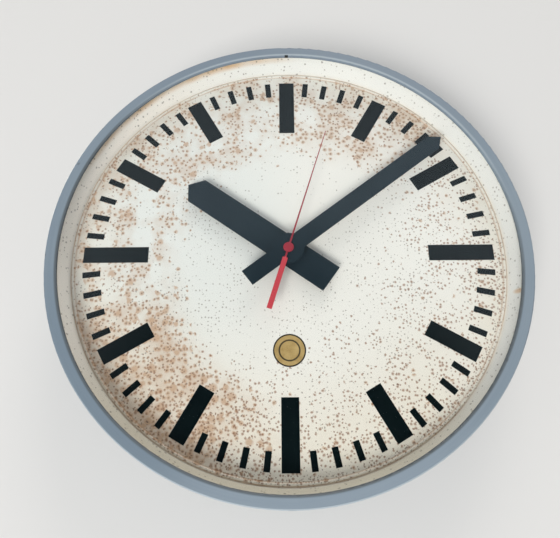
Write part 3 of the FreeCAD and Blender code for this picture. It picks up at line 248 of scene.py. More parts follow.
# Scratches and a bare patch round the keyhole
hair = mottled(tree, stretch(tree, place, (30, 1, 2)), 30.0, detail=1.0)
scratches = times(tree, fade(tree, hair, 0.8, 1.0), fade(tree, from_keyhole, 10 * MM, 40 * MM, 0.8, 0.12))
rubbed = times(tree, fade(tree, from_keyhole, 7 * MM, 17 * MM, 0.75, 0.0),
               mottled(tree, place, 160.0, -0.2, 1.1))
bare = times(tree, calc(tree, "MAXIMUM", scratches, rubbed), on_back)
colour = lay_over(tree, bare, colour, CASE_BARE)

# Rust along the opening's rim and in pricks, more of them below, and chips in the paint
rim = times(tree, fade(tree, radius, OPENING_RADIUS + 0.5 * MM, OPENING_RADIUS + 5 * MM, 1.0, 0.0),
            mottled(tree, place, 60.0, -0.35, 0.95))
colour = lay_over(tree, rim, colour, CASE_RUST)
prick_share = times(tree, mottled(tree, place, 13.0, -0.25, 0.3),
                    fade(tree, toward(tree, bearing, DOWN), -0.6, 0.8, 0.3, 1.0))
pricks = speckled(tree, speckle, place, scale=260.0, share=prick_share, radius=0.5)["Mask"]
colour = lay_over(tree, times(tree, pricks, 0.7), colour, CASE_RUST)
chips = speckled(tree, speckle, place, scale=55.0, share=0.03, radius=0.4)["Mask"]
colour = lay_over(tree, times(tree, chips, 0.5), colour, CASE_CHIP)
worn = calc(tree, "MAXIMUM", rim, pricks)
feed(tree, shader, colour, calc(tree, "MULTIPLY_ADD", worn, 0.3, mottled(tree, place, 30.0, 0.38, 0.55)))
grain = calc(tree, "MULTIPLY_ADD", worn, 0.6, mottled(tree, place, 700.0))
raise_grain(tree, shader, calc(tree, "SUBTRACT", grain, times(tree, bare, 0.5)), strength=0.25, distance=0.2 * MM)
dress(case_paint, "back_case")


# Bezel ring: spun steel in the same blue-grey as the case, brushed over by hand, so it has faint sweeps
# round the ring, scuffs and nicks to dark metal along its outer edge. Painted shade lies in the corner at its lip.
BEZEL_RADIUS = (bezel_high.x - bezel_low.x) / 2
LIP_RADIUS = BEZEL_RADIUS - 10.3 * MM
NOTCH_HALF_WIDTH = 1.3 * MM
SHADED_TOP_SIDE = 5
SHADED_LOW_LEFT_SIDE = 232
LIT_LOW_SIDE = 172
HIGHLIGHT_LIP_SIDE = 15
LIP_SHADE_SIDE = 200
BEZEL_DARK = (0.182, 0.232, 0.282, 1)
BEZEL_LIGHT = (0.216, 0.268, 0.318, 1)
BEZEL_SWEEP = (0.29, 0.34, 0.38, 1)
BEZEL_TOP_SHADE = (0.17, 0.215, 0.265, 1)
BEZEL_LOW_LEFT_SHADE = (0.155, 0.205, 0.255, 1)
BEZEL_LOW_LIGHT = (0.275, 0.335, 0.395, 1)
BEZEL_SCUFF = (0.13, 0.17, 0.20, 1)
BEZEL_CHIP = (0.09, 0.10, 0.11, 1)
BEZEL_HIGHLIGHT = (0.44, 0.50, 0.54, 1)
BEZEL_LIP_SHADE = (0.075, 0.088, 0.095, 1)
NOTCH_BLACK = (0.015, 0.015, 0.015, 1)
bezel_paint, tree, shader = new_material("bezel_paint")
place = dial_place(tree)
axes = axes_of(tree, place)
flat = flat_place(tree, place)
radius = length_of(tree, flat)
bearing = vector_math(tree, "NORMALIZE", flat)
sweep = mottled(tree, add_node(tree, "ShaderNodeCombineXYZ", {
    "X": times(tree, radius, 900.0), "Y": times(tree, axes["X"], 12.0), "Z": times(tree, axes["Z"], 12.0),
}).outputs[0], 1.0, detail=2.0)
colour = two_tone(tree, place, 7.0, BEZEL_DARK, BEZEL_LIGHT)
colour = lay_over(tree, times(tree, sweep, 0.2), colour, BEZEL_SWEEP)

# Painted shade at the top and the lower left, and painted light at the bottom
for clockwise, start, end, share, zone in (
    (SHADED_TOP_SIDE, 0.4, 0.9, 0.6, BEZEL_TOP_SHADE),
    (SHADED_LOW_LEFT_SIDE, 0.8, 0.98, 0.7, BEZEL_LOW_LEFT_SHADE),
    (LIT_LOW_SIDE, 0.75, 1.0, 0.5, BEZEL_LOW_LIGHT),
):
    colour = lay_over(tree, fade(tree, toward(tree, bearing, clockwise), start, end, 0.0, share), colour, zone)

# Scuffs, and nicks along the outer edge
scuff = times(tree, fade(tree, sweep, 0.72, 0.95), fade(tree, mottled(tree, place, 11.0), 0.6, 0.9))
colour = lay_over(tree, times(tree, scuff, 0.5), colour, BEZEL_SCUFF)
edge = fade(tree, radius, BEZEL_RADIUS - 1.6 * MM, BEZEL_RADIUS - 0.4 * MM)
chip_share = calc(tree, "MULTIPLY_ADD", edge, 0.08, 0.008)
chips = speckled(tree, speckle, place, scale=230.0, share=chip_share, radius=0.5)["Mask"]
colour = lay_over(tree, times(tree, chips, 0.75), colour, BEZEL_CHIP)

# Painted highlights on the rounded edges: outside along the bottom, inside along the top
at_front = fade(tree, axes["Y"], bezel_low.y + 1.5 * MM, bezel_low.y + 0.8 * MM)
highlight_out = times(tree, fade(tree, radius, BEZEL_RADIUS - 1.4 * MM, BEZEL_RADIUS - 0.7 * MM), at_front,
                fade(tree, toward(tree, bearing, DOWN), 0.3, 0.9, 0.0, 0.75))
highlight_in = times(tree, fade(tree, radius, LIP_RADIUS + 0.6 * MM, LIP_RADIUS + 1.2 * MM),
               fade(tree, radius, LIP_RADIUS + 1.8 * MM, LIP_RADIUS + 3.4 * MM, 1.0, 0.0),
               fade(tree, toward(tree, bearing, HIGHLIGHT_LIP_SIDE), 0.3, 0.9, 0.0, 0.6))
colour = lay_over(tree, calc(tree, "MAXIMUM", highlight_out, highlight_in), colour, BEZEL_HIGHLIGHT)

# Painted shade in the corner at the lip, and the dark notch at its top
lip_shade = times(tree, fade(tree, radius, LIP_RADIUS + 1.0 * MM, LIP_RADIUS + 2.8 * MM, 1.0, 0.0),
              fade(tree, toward(tree, bearing, LIP_SHADE_SIDE), -0.75, -0.1, 0.0, 0.8))
colour = lay_over(tree, lip_shade, colour, BEZEL_LIP_SHADE)
aside = calc(tree, "ABSOLUTE", axes["X"])
notch = times(tree, fade(tree, aside, NOTCH_HALF_WIDTH, NOTCH_HALF_WIDTH + 0.5 * MM, 1.0, 0.0),
              calc(tree, "GREATER_THAN", axes["Z"], 0.0),
              fade(tree, radius, LIP_RADIUS + 1.0 * MM, LIP_RADIUS + 1.6 * MM, 1.0, 0.0))
colour = lay_over(tree, notch, colour, NOTCH_BLACK)
feed(tree, shader, colour, mottled(tree, place, 40.0, 0.34, 0.5))
grain = calc(tree, "MULTIPLY_ADD", sweep, 0.6, mottled(tree, place, 600.0, 0.0, 0.5))
raise_grain(tree, shader, calc(tree, "SUBTRACT", grain, chips), strength=0.3, distance=0.2 * MM)
dress(bezel_paint, "bezel_ring")


# Dial plate: a steel dish in off-white enamel. Damp has pricked it with rust: tan blotches with dark
# middles in the outer half, most on the left, brown pricks and fine specks, and lines beside the bead.
dial_low, dial_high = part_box("dial_plate")
mark_low, mark_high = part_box("quarter_marks")
BEAD_INNER = (mark_high.x - mark_low.x) / 2 + 6.6 * MM
BEAD_OUTER = BEAD_INNER + 3.0 * MM
FOOT_RADIUS = BEAD_OUTER + 1.0 * MM
MOUTH_RADIUS = FOOT_RADIUS + 7.5 * MM
WALL_SPOT = (189 * MM, -38 * MM, 0)
LEFT_SHADE_AND_RUST_SIDE = 285
WARM_SHADE_SIDE = 185
BEAD_SHADE_SIDE = 275
WALL_SHADE_SIDE = 195
BLOTCH_SIDE = 315
HEAVY_LOWER_LEFT = 224
HEAVY_UPPER_RIGHT = 34
PRICK_REACH_SIDE = 135
PRICK_SIDE = 145
SPECK_LEFT_SIDE = 265
SPECK_RIGHT_SIDE = 130
DIRT_SIDE = 152
STAIN_SIDE = 327
ENAMEL = (0.86, 0.835, 0.79, 1)
ENAMEL_COOL_SHADE = (0.77, 0.785, 0.765, 1)
ENAMEL_WARM_SHADE = (0.81, 0.735, 0.62, 1)
CREAM = (0.82, 0.755, 0.65, 1)
BEAD_SHADE = (0.55, 0.49, 0.42, 1)
WALL_HIGH = (0.85, 0.84, 0.81, 1)
WALL_SHADE = (0.72, 0.665, 0.555, 1)
WALL_LIT_LEFT = (0.96, 0.90, 0.83, 1)
RUST_TAN = (0.52, 0.32, 0.195, 1)
RUST_DARK = (0.15, 0.085, 0.055, 1)
PRICK = (0.36, 0.19, 0.11, 1)
SPECK = (0.15, 0.105, 0.08, 1)
DIRT = (0.23, 0.14, 0.095, 1)
BEAD_LINE = (0.42, 0.23, 0.12, 1)
STAIN = (0.66, 0.40, 0.19, 1)
PRIMER_DARK = (0.25, 0.255, 0.25, 1)
PRIMER_LIGHT = (0.33, 0.335, 0.33, 1)
flat_speckle = speckle_group("FlatSpeckle", "2D")
dial_enamel, tree, shader = new_material("dial_enamel")
place = dial_place(tree)
flat = flat_place(tree, place)
radius = length_of(tree, flat)
bearing = vector_math(tree, "NORMALIZE", flat)
to_left = toward(tree, bearing, LEFT_SHADE_AND_RUST_SIDE)

# Where rust is: blotches in clusters over the outer half at the left and top, pricks at the lower right.
# A side is a direction in degrees clockwise from the top.
within_bead = fade(tree, radius, BEAD_INNER, BEAD_OUTER, 1.0, 0.0)
spread = calc(tree, "MULTIPLY_ADD", toward(tree, bearing, BLOTCH_SIDE), 18 * MM, radius)
heavy = calc(tree, "MAXIMUM", fade(tree, toward(tree, bearing, HEAVY_LOWER_LEFT), 0.84, 0.98),
             fade(tree, toward(tree, bearing, HEAVY_UPPER_RIGHT), 0.92, 0.98, 0.0, 0.75))
blotch_share = times(tree, fade(tree, spread, 95 * MM, 135 * MM), within_bead,
                     calc(tree, "MAXIMUM", fade(tree, to_left, -0.45, 0.3, 0.16, 1.0), heavy),
                     calc(tree, "MULTIPLY_ADD", heavy, 1.15, mottled(tree, place, 55.0, -0.45, 1.6)))
blotch_share = calc(tree, "MAXIMUM", blotch_share, 0.0)
spread = calc(tree, "MULTIPLY_ADD", toward(tree, bearing, PRICK_REACH_SIDE), 32 * MM, radius)
prick_share = times(tree, fade(tree, spread, 90 * MM, 135 * MM), within_bead,
                    fade(tree, toward(tree, bearing, PRICK_SIDE), -0.2, 0.6, 0.25, 1.0),
                    mottled(tree, place, 60.0, -0.1, 0.95),
                    fade(tree, radius, 122 * MM, 146 * MM, 0.85, 1.7))

# Enamel: cooler and darker at the left and warmer and darker towards the bottom, both painted shade,
# and cream towards the bead
colour = lay_over(tree, fade(tree, to_left, -0.2, 0.9, 0.0, 0.75), ENAMEL, ENAMEL_COOL_SHADE)
warm_shade = times(tree, fade(tree, toward(tree, bearing, WARM_SHADE_SIDE), -0.1, 0.9, 0.0, 0.6),
             fade(tree, radius, 70 * MM, 160 * MM))
colour = lay_over(tree, warm_shade, colour, ENAMEL_WARM_SHADE)
toning = times(tree, fade(tree, radius, 135 * MM, BEAD_INNER), mottled(tree, place, 14.0, 0.2, 0.7))
colour = lay_over(tree, toning, colour, CREAM)
# Painted shade inside the bead at the left, a darker tan
bead_shade = times(tree, fade(tree, radius, BEAD_INNER - 16 * MM, BEAD_INNER - 2 * MM),
             fade(tree, toward(tree, bearing, BEAD_SHADE_SIDE), 0.5, 0.95, 0.0, 0.4))
colour = lay_over(tree, bead_shade, colour, BEAD_SHADE)
# Painted light and shade on the dial's wall: darker towards the bottom, lighter at the left
on_wall = fade(tree, radius, FOOT_RADIUS - 1 * MM, FOOT_RADIUS + 1.5 * MM)
wall_light_and_shade = lay_over(tree, fade(tree, toward(tree, bearing, WALL_SHADE_SIDE), 0.2, 0.85), WALL_HIGH, WALL_SHADE)
wall_light_and_shade = lay_over(tree, fade(tree, to_left, 0.4, 0.95), wall_light_and_shade, WALL_LIT_LEFT)
colour = lay_over(tree, on_wall, colour, wall_light_and_shade)

# Blotches in two sizes with darker middles on a faint tan wash, then pricks
large_share = times(tree, blotch_share, calc(tree, "MINIMUM", blotch_share, 1.0), 0.42)
medium_share = times(tree, blotch_share, 0.85)
large = speckled(tree, flat_speckle, flat, scale=125.0, share=large_share, radius=0.64)
medium = speckled(tree, flat_speckle, flat, scale=232.0, share=medium_share, radius=0.64)
pricks = speckled(tree, flat_speckle, flat, scale=310.0, share=prick_share, radius=0.55)
blotch = calc(tree, "MAXIMUM", large["Mask"], medium["Mask"])
for mask, share, rust in (
    (blotch_share, 0.25, RUST_TAN), (blotch, 0.7, RUST_TAN), (medium["Core"], 0.7, RUST_DARK),
    (pricks["Mask"], 0.68, PRICK), (pricks["Core"], 0.6, RUST_DARK),
):
    colour = lay_over(tree, times(tree, mask, share), colour, rust)

# Fine specks, in two fields that thin out towards the bead and the hub
speck_left = times(tree, fade(tree, toward(tree, bearing, SPECK_LEFT_SIDE), 0.3, 0.95, 0.12, 0.6),
                   fade(tree, radius, 100 * MM, 140 * MM, 1.0, 0.5))
speck_right = times(tree, fade(tree, toward(tree, bearing, SPECK_RIGHT_SIDE), -0.1, 0.75, 0.08, 0.5),
                    fade(tree, radius, 120 * MM, 150 * MM, 1.0, 0.4))
speck_share = times(tree, calc(tree, "MAXIMUM", speck_left, speck_right), mottled(tree, place, 24.0, 0.35, 1.3),
                    fade(tree, radius, 15 * MM, 60 * MM, 0.05, 1.0), within_bead)
specks = speckled(tree, flat_speckle, flat, scale=340.0, share=speck_share, radius=0.3)["Mask"]
colour = lay_over(tree, times(tree, specks, 0.68), colour, SPECK)

# Dirt along the bead, thickest at the bottom, and the brown lines at both its feet
dirt_share = times(tree, fade(tree, radius, BEAD_INNER - 6 * MM, BEAD_INNER - 0.5 * MM),
                   fade(tree, radius, BEAD_OUTER - 1 * MM, FOOT_RADIUS, 1.0, 0.0),
                   fade(tree, toward(tree, bearing, DIRT_SIDE), 0.0, 0.95, 0.3, 1.0))
dirt = speckled(tree, flat_speckle, flat, scale=420.0, share=dirt_share, radius=0.42)["Mask"]
colour = lay_over(tree, times(tree, dirt, 0.76), colour, DIRT)
for line_radius, line_share in ((BEAD_INNER, 0.65), (BEAD_OUTER, 0.85)):
    off = calc(tree, "ABSOLUTE", calc(tree, "SUBTRACT", radius, line_radius))
    line = times(tree, fade(tree, off, 0.2 * MM, 0.9 * MM, line_share, 0.0), mottled(tree, place, 45.0, 0.35, 1.0))
    colour = lay_over(tree, line, colour, BEAD_LINE)

# Orange stain on the wall under the lip at the upper left, specks on the wall, and one stain at its right
stained = times(tree, fade(tree, radius, MOUTH_RADIUS - 3.6 * MM, MOUTH_RADIUS - 1.2 * MM),
                fade(tree, toward(tree, bearing, STAIN_SIDE), 0.78, 0.97), mottled(tree, place, 30.0, 0.15, 1.0))
colour = lay_over(tree, stained, colour, STAIN)
wall_specks = speckled(tree, speckle, place, scale=300.0, share=times(tree, on_wall, 0.75), radius=0.4)["Mask"]
colour = lay_over(tree, times(tree, wall_specks, 0.6), colour, SPECK)
off = vector_math(tree, "DISTANCE", flat, WALL_SPOT, "Value")
colour = lay_over(tree, fade(tree, off, 0.8 * MM, 3.2 * MM, 0.7, 0.0), colour, STAIN)

# Grey primer on the dial's back, seen through the case's opening
at_back = fade(tree, axes_of(tree, place)["Y"], dial_high.y - 0.6 * MM, dial_high.y - 0.3 * MM)
colour = lay_over(tree, at_back, colour, two_tone(tree, place, 30.0, PRIMER_DARK, PRIMER_LIGHT))
feed(tree, shader, colour, calc(tree, "MULTIPLY_ADD", blotch, 0.3, 0.42))
grain = calc(tree, "MULTIPLY_ADD", blotch, 0.5, mottled(tree, place, 500.0, 0.0, 0.3))
raise_grain(tree, shader, grain, strength=0.2, distance=0.1 * MM)
dress(dial_enamel, "dial_plate")


# Marks: 60 bars of dull black paint printed on the enamel, four long, eight shorter and 48 small ones. The
# paint is pricked here and there.
MARK_DARK = (0.0008, 0.004, 0.005, 1)
MARK_LIGHT = (0.0025, 0.007, 0.008, 1)
MARK_PRICK = (0.1, 0.09, 0.08, 1)
DULL_SPECULAR = 0.08
mark_paint, tree, shader = new_material("mark_paint")
place = dial_place(tree)
pricks = speckled(tree, flat_speckle, flat_place(tree, place), scale=420.0, share=0.06, radius=0.22)["Mask"]
colour = two_tone(tree, place, 60.0, MARK_DARK, MARK_LIGHT)
colour = lay_over(tree, times(tree, pricks, 0.3), colour, MARK_PRICK)
feed(tree, shader, colour, mottled(tree, place, 150.0, 0.5, 0.65))
shader.inputs["Specular IOR Level"].default_value = DULL_SPECULAR
dress(mark_paint, "quarter_marks", "hour_marks", "minute_marks")


# Badge: a plain round gold transfer with a dark rim and a thin dark ring, worn matt. It is stuck on the
# enamel below the hands.
badge_low, badge_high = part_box("dial_badge")
BADGE_RADIUS = (badge_high.x - badge_low.x) / 2
BADGE_RING = BADGE_RADIUS * 0.62
GOLD_DARK = (0.50, 0.33, 0.12, 1)
GOLD_LIGHT = (0.66, 0.47, 0.20, 1)
INK = (0.035, 0.028, 0.02, 1)
badge_gold, tree, shader = new_material("badge_gold")
place = dial_place(tree, (badge_low.z + badge_high.z) / 2)
radius = length_of(tree, flat_place(tree, place))
colour = two_tone(tree, place, 160.0, GOLD_DARK, GOLD_LIGHT)
colour = lay_over(tree, fade(tree, radius, BADGE_RADIUS - 1.3 * MM, BADGE_RADIUS - 1.0 * MM), colour, INK)
off = calc(tree, "ABSOLUTE", calc(tree, "SUBTRACT", radius, BADGE_RING))
colour = lay_over(tree, fade(tree, off, 0.5 * MM, 0.8 * MM, 0.9, 0.0), colour, INK)
feed(tree, shader, colour, mottled(tree, place, 300.0, 0.42, 0.6))
shader.inputs["Metallic"].default_value = 0.35
dress(badge_gold, "dial_badge")


# Bar hands: the hour and the minute hand, stamped from sheet and pressed on brass collets. Their satin dark
# grey paint has a fine grain and a little dust.
HAND_DARK = (0.011, 0.021, 0.029, 1)
HAND_LIGHT = (0.017, 0.029, 0.038, 1)
DUST = (0.2, 0.2, 0.2, 1)
hand_paint, tree, shader = new_material("hand_paint")
place = own_place(tree)
dust = speckled(tree, speckle, place, scale=700.0, share=0.12, radius=0.16)["Mask"]
colour = lay_over(tree, times(tree, dust, 0.3), two_tone(tree, place, 35.0, HAND_DARK, HAND_LIGHT), DUST)
feed(tree, shader, colour, mottled(tree, place, 80.0, 0.42, 0.58))
shader.inputs["Specular IOR Level"].default_value = DULL_SPECULAR
raise_grain(tree, shader, mottled(tree, place, 900.0), strength=0.15, distance=0.1 * MM)
dress(hand_paint, "hour_hand", "minute_hand")


# Second hand and its hub: thin sheet and a turned disc on it, both sprayed red. The counterweight is a paler
# red; the pointer and the hub a deeper red, which on the thin pointer is painted shade.
RED_DEEP = (0.30, 0.018, 0.035, 1)
RED_PALE = (0.56, 0.052, 0.07, 1)
RED_MOTTLE = (0.50, 0.035, 0.055, 1)
POINTER_BEARING = 17
WEIGHT_START = 9 * MM
second_paint, tree, shader = new_material("second_paint")
place = dial_place(tree)
flat = flat_place(tree, place)
behind_hub = toward(tree, vector_math(tree, "NORMALIZE", flat), POINTER_BEARING + 180)
weight = times(tree, fade(tree, behind_hub, 0.0, 0.5),
               fade(tree, length_of(tree, flat), WEIGHT_START - 0.6 * MM, WEIGHT_START))
colour = lay_over(tree, weight, RED_DEEP, RED_PALE)
colour = lay_over(tree, mottled(tree, place, 90.0, 0.0, 0.2), colour, RED_MOTTLE)
feed(tree, shader, colour, mottled(tree, place, 200.0, 0.3, 0.45))
dress(second_paint, "second_hand", "second_hub")


# Glass: a clear pane clamped between lip and seal, with a faint grey-green body and wipe marks. Shadow and
# diffuse rays pass through it, as daylight does through a window.
clear_glass, tree, shader = new_material("clear_glass")
shader.inputs["Base Color"].default_value = (0.985, 0.995, 0.99, 1)
shader.inputs["Transmission Weight"].default_value = 1.0
shader.inputs["IOR"].default_value = 1.36
tree.links.new(mottled(tree, dial_place(tree), 12.0, 0.0, 0.02), shader.inputs["Roughness"])
clear = add_node(tree, "ShaderNodeBsdfTransparent", {"Color": (0.97, 0.98, 0.975, 1)})
ray = add_node(tree, "ShaderNodeLightPath").outputs
passing = calc(tree, "MAXIMUM", ray["Is Shadow Ray"], ray["Is Diffuse Ray"])
pane = add_node(tree, "ShaderNodeMixShader", {0: passing, 1: shader.outputs[0], 2: clear.outputs[0]})
tree.links.new(pane.outputs[0], tree.nodes["Material Output"].inputs["Surface"])
dress(clear_glass, "glass_pane")


# Seal and gasket: rings cut from black rubber, dull with a little bloom. The seal lies between the pane and
# the dial's flange, the gasket between the dial and the movement.
RUBBER_DARK = (0.018, 0.018, 0.018, 1)
RUBBER_LIGHT = (0.04, 0.04, 0.038, 1)
seal_rubber, tree, shader = new_material("seal_rubber")
place = dial_place(tree)
colour = two_tone(tree, place, 120.0, RUBBER_DARK, RUBBER_LIGHT)
feed(tree, shader, colour, mottled(tree, place, 300.0, 0.75, 0.95))
dress(seal_rubber, "glass_seal", "movement_gasket")


# Bare and plated metal: zinc on nuts, screws and washer, ground steel arbors, soft iron stator, bright can
# and contacts, turned brass and copper wire. Each has its own tone, and streaks from how it was made.
EVEN = (1, 1, 1)
ALONG_X = (0.1, 1, 1)
ALONG_Y = (1, 0.1, 1)
ALONG_Z = (1, 1, 0.1)
WOUND = (1, 1, 14)


def metal_material(name, dark, light, rough, streak):
    """Metal with a mottled tone, a roughness between two values and fine streaks."""
    material, tree, shader = new_material(name)
    place = own_place(tree)
    drawn = stretch(tree, place, streak)
    colour = two_tone(tree, place, 180.0, (*dark, 1), (*light, 1))
    feed(tree, shader, colour, mottled(tree, drawn, 400.0, *rough))
    shader.inputs["Metallic"].default_value = 1.0
    raise_grain(tree, shader, mottled(tree, drawn, 900.0), strength=0.12, distance=0.05 * MM)
    return material


zinc = metal_material("zinc", (0.42, 0.43, 0.44), (0.62, 0.63, 0.63), (0.3, 0.5), EVEN)
dress(zinc, "bezel_nuts", "bush_washer")
arbor_steel = metal_material("arbor_steel", (0.5, 0.5, 0.5), (0.65, 0.65, 0.65), (0.18, 0.32), ALONG_Y)
dress(arbor_steel, "second_arbor", "minute_arbor")
stator_iron = metal_material("stator_iron", (0.28, 0.28, 0.29), (0.4, 0.4, 0.41), (0.4, 0.6), ALONG_Z)
dress(stator_iron, "stator")
crystal_can = metal_material("crystal_can", (0.6, 0.6, 0.6), (0.75, 0.75, 0.74), (0.2, 0.35), ALONG_X)
dress(crystal_can, "quartz_crystal")
nickel = metal_material("contact_nickel", (0.55, 0.53, 0.49), (0.7, 0.68, 0.63), (0.25, 0.4), ALONG_Z)
dress(nickel, "battery_contacts")
turned_brass = metal_material("turned_brass", (0.55, 0.38, 0.15), (0.72, 0.53, 0.25), (0.22, 0.4), ALONG_Y)
dress(turned_brass, "hour_collet", "minute_collet", "bush_nut")
coil_copper = metal_material("coil_copper", (0.42, 0.13, 0.05), (0.6, 0.24, 0.1), (0.3, 0.45), WOUND)
dress(coil_copper, "coil")


# Bezel screws: four slotted cheese heads in zinc through the bezel's skirt and the case into nuts. Each is
# a disc with a rounded top edge and a sawn slot, on a plain shank.
screw_low, screw_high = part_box("bezel_screws")
SCREW_HEAD_RADIUS = 3.5 * MM
SCREW_HEAD_HEIGHT = (screw_high.x - screw_low.x) / 2 - BEZEL_RADIUS
SCREW_EDGE = 0.45 * MM
SCREW_SHANK_RADIUS = 2.0 * MM
SCREW_SHANK_LENGTH = 5.6 * MM
SCREW_SLOT_WIDTH = 0.9 * MM
SCREW_SLOT_DEPTH = 0.9 * MM
SCREW_DEPTH = (screw_low.y + screw_high.y) / 2
SLOT_TURNS = (0.5, 1.3, 2.1, 2.9)
MERGE_DISTANCE = 0.001 * MM
SHARP_ANGLE = math.radians(35)


def select_only(piece=None):
    """Leaves one piece selected and active, or none, in object mode."""
    if bpy.context.object is not None and bpy.context.object.mode != "OBJECT":
        bpy.ops.object.mode_set(mode="OBJECT")
    bpy.ops.object.select_all(action="DESELECT")
    if piece is not None:
        piece.select_set(True)
        bpy.context.view_layer.objects.active = piece


def settle(piece):
    """Puts a piece's place into its mesh, so its object sits at the origin."""
    select_only(piece)
    bpy.ops.object.transform_apply(location=True, rotation=True, scale=True)


def choose(piece, kind, test):
    """Selects the edges or faces of a piece that pass a test and leaves it in edit mode."""
    select_only(piece)
    bpy.ops.object.mode_set(mode="EDIT")
    bpy.ops.mesh.select_mode(type=kind)
    bpy.ops.mesh.select_all(action="DESELECT")
    bpy.ops.object.mode_set(mode="OBJECT")
    if kind == "EDGE":
        for edge in piece.data.edges:
            edge.select = all(test(piece.data.vertices[index].co) for index in edge.vertices)
    else:
        for face in piece.data.polygons:
            face.select = test(face)
    bpy.ops.object.mode_set(mode="EDIT")


def combine(piece, other, operation):
    """Cuts another shape out of a piece, or joins it on, and deletes that other shape."""
    select_only(piece)
    boolean = piece.modifiers.new("Combine", "BOOLEAN")
    boolean.operation = operation
    boolean.solver = "EXACT"
    boolean.object = other
    bpy.ops.object.modifier_apply(modifier=boolean.name)
    bpy.data.objects.remove(other)


def merge_outward():
    """Merges doubles of the mesh in edit mode and turns its faces outwards."""
    bpy.ops.mesh.select_all(action="SELECT")
    bpy.ops.mesh.remove_doubles(threshold=MERGE_DISTANCE)
    bpy.ops.mesh.normals_make_consistent(inside=False)


def finish_piece(piece, material, body):
    """Merged outward mesh with shading by angle, its material and body."""
    settle(piece)
    bpy.ops.object.mode_set(mode="EDIT")
    merge_outward()
    bpy.ops.object.mode_set(mode="OBJECT")
    bpy.ops.object.shade_smooth_by_angle(angle=SHARP_ANGLE)
    piece.data.materials.clear()
    piece.data.materials.append(material)
    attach(piece, body)


select_only()
bpy.ops.mesh.primitive_cylinder_add(vertices=40, radius=SCREW_HEAD_RADIUS, depth=SCREW_HEAD_HEIGHT,
                                    location=(0, 0, SCREW_HEAD_HEIGHT / 2))
screw = bpy.context.object
screw.name = "bezel_screw_0"
settle(screw)
choose(screw, "EDGE", lambda co: co.z > SCREW_HEAD_HEIGHT - 0.01 * MM)
bpy.ops.mesh.bevel(offset=SCREW_EDGE, segments=3, affect="EDGES")
choose(screw, "FACE", lambda face: face.normal.z < -0.9)
bpy.ops.mesh.inset(thickness=SCREW_HEAD_RADIUS - SCREW_SHANK_RADIUS)
bpy.ops.mesh.extrude_region_move(TRANSFORM_OT_translate={"value": (0, 0, -SCREW_SHANK_LENGTH)})
select_only()
bpy.ops.mesh.primitive_cube_add(size=1, location=(0, 0, SCREW_HEAD_HEIGHT))
slot_saw = bpy.context.object
slot_saw.scale = (SCREW_HEAD_RADIUS * 3, SCREW_SLOT_WIDTH, SCREW_SLOT_DEPTH * 2)
settle(slot_saw)
combine(screw, slot_saw, "DIFFERENCE")
screws = [screw]
for number in range(1, len(SLOT_TURNS)):
    another = screw.copy()
    another.data = screw.data.copy()
    another.name = f"bezel_screw_{number}"
    bpy.context.scene.collection.objects.link(another)
    screws.append(another)
for number, piece in enumerate(screws):
    clockwise = number * math.pi / 2
    piece.rotation_mode = "ZYX"
    piece.rotation_euler = (0, clockwise, SLOT_TURNS[number])
    piece.location = (BEZEL_RADIUS * math.sin(clockwise), SCREW_DEPTH,
                      AXIS_HEIGHT + BEZEL_RADIUS * math.cos(clockwise))
    finish_piece(piece, zinc, "case")
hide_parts("bezel_screws")


# Movement housing, cover and knob: black moulded plastic with an eroded matt grain, a little grey from dust.
# The housing is clamped to the dial by its bush, the cover closes it behind, and the knob turns in the cover.
HOUSING_DARK = (0.014, 0.014, 0.015, 1)
HOUSING_LIGHT = (0.028, 0.028, 0.028, 1)
housing_plastic, tree, shader = new_material("housing_plastic")
place = own_place(tree)
colour = two_tone(tree, place, 70.0, HOUSING_DARK, HOUSING_LIGHT)
feed(tree, shader, colour, mottled(tree, place, 500.0, 0.5, 0.7))
raise_grain(tree, shader, mottled(tree, place, 2500.0), strength=0.3, distance=0.05 * MM)
dress(housing_plastic, "movement_housing", "movement_cover", "set_knob")


# Moulded signs on the cover: a plus and a minus above the battery's ends and an arrow round the knob, all
# raised in the cover's own plastic, with softened edges and tops rubbed grey.
cover_low, cover_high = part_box("movement_cover")
battery_low, battery_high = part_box("battery")
knob_low, knob_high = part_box("set_knob")
knob_middle = (knob_low + knob_high) / 2
SIGN_HEIGHT = 0.35 * MM
SIGN_SINK = 0.1 * MM
SIGN_THICKNESS = SIGN_HEIGHT + SIGN_SINK
SIGN_DEPTH = cover_high.y + SIGN_HEIGHT / 2 - SIGN_SINK
SIGN_WIDTH = 0.9 * MM
SIGN_ARM = 1.6 * MM
SIGN_INSET = 6.0 * MM
SIGN_EDGE = 0.08 * MM
ARROW_RADIUS = (knob_high.x - knob_low.x) / 2 + 2.2 * MM
ARROW_SWEEP = math.radians(110)
ARROW_HEAD = 1.7 * MM
SIGN_DARK = (0.10, 0.10, 0.10, 1)
SIGN_LIGHT = (0.20, 0.20, 0.195, 1)
sign_plastic, tree, shader = new_material("sign_plastic")
place = own_place(tree)
colour = two_tone(tree, place, 400.0, SIGN_DARK, SIGN_LIGHT)
feed(tree, shader, colour, mottled(tree, place, 700.0, 0.55, 0.75))


def finish_sign(sign):
    """Small bevel on every edge of a moulded sign, then its material and body."""
    bevel = sign.modifiers.new("Soften", "BEVEL")
    bevel.width = SIGN_EDGE
    bevel.segments = 2
    select_only(sign)
    bpy.ops.object.modifier_apply(modifier=bevel.name)
    finish_piece(sign, sign_plastic, "case")


def pole_sign(name, x, upright):
    """Bar with two arms, or a cross with four, pulled out of one small block."""
    select_only()
    bpy.ops.mesh.primitive_cube_add(size=1, location=(x, SIGN_DEPTH, cover_low.z + SIGN_INSET))
    sign = bpy.context.object
    sign.name = name
    sign.scale = (SIGN_WIDTH, SIGN_THICKNESS, SIGN_WIDTH)
    settle(sign)
    choose(sign, "FACE", lambda face: abs(face.normal.x) > 0.9 or (upright and abs(face.normal.z) > 0.9))
    bpy.ops.mesh.extrude_faces_move(TRANSFORM_OT_shrink_fatten={"value": -SIGN_ARM})
    finish_sign(sign)


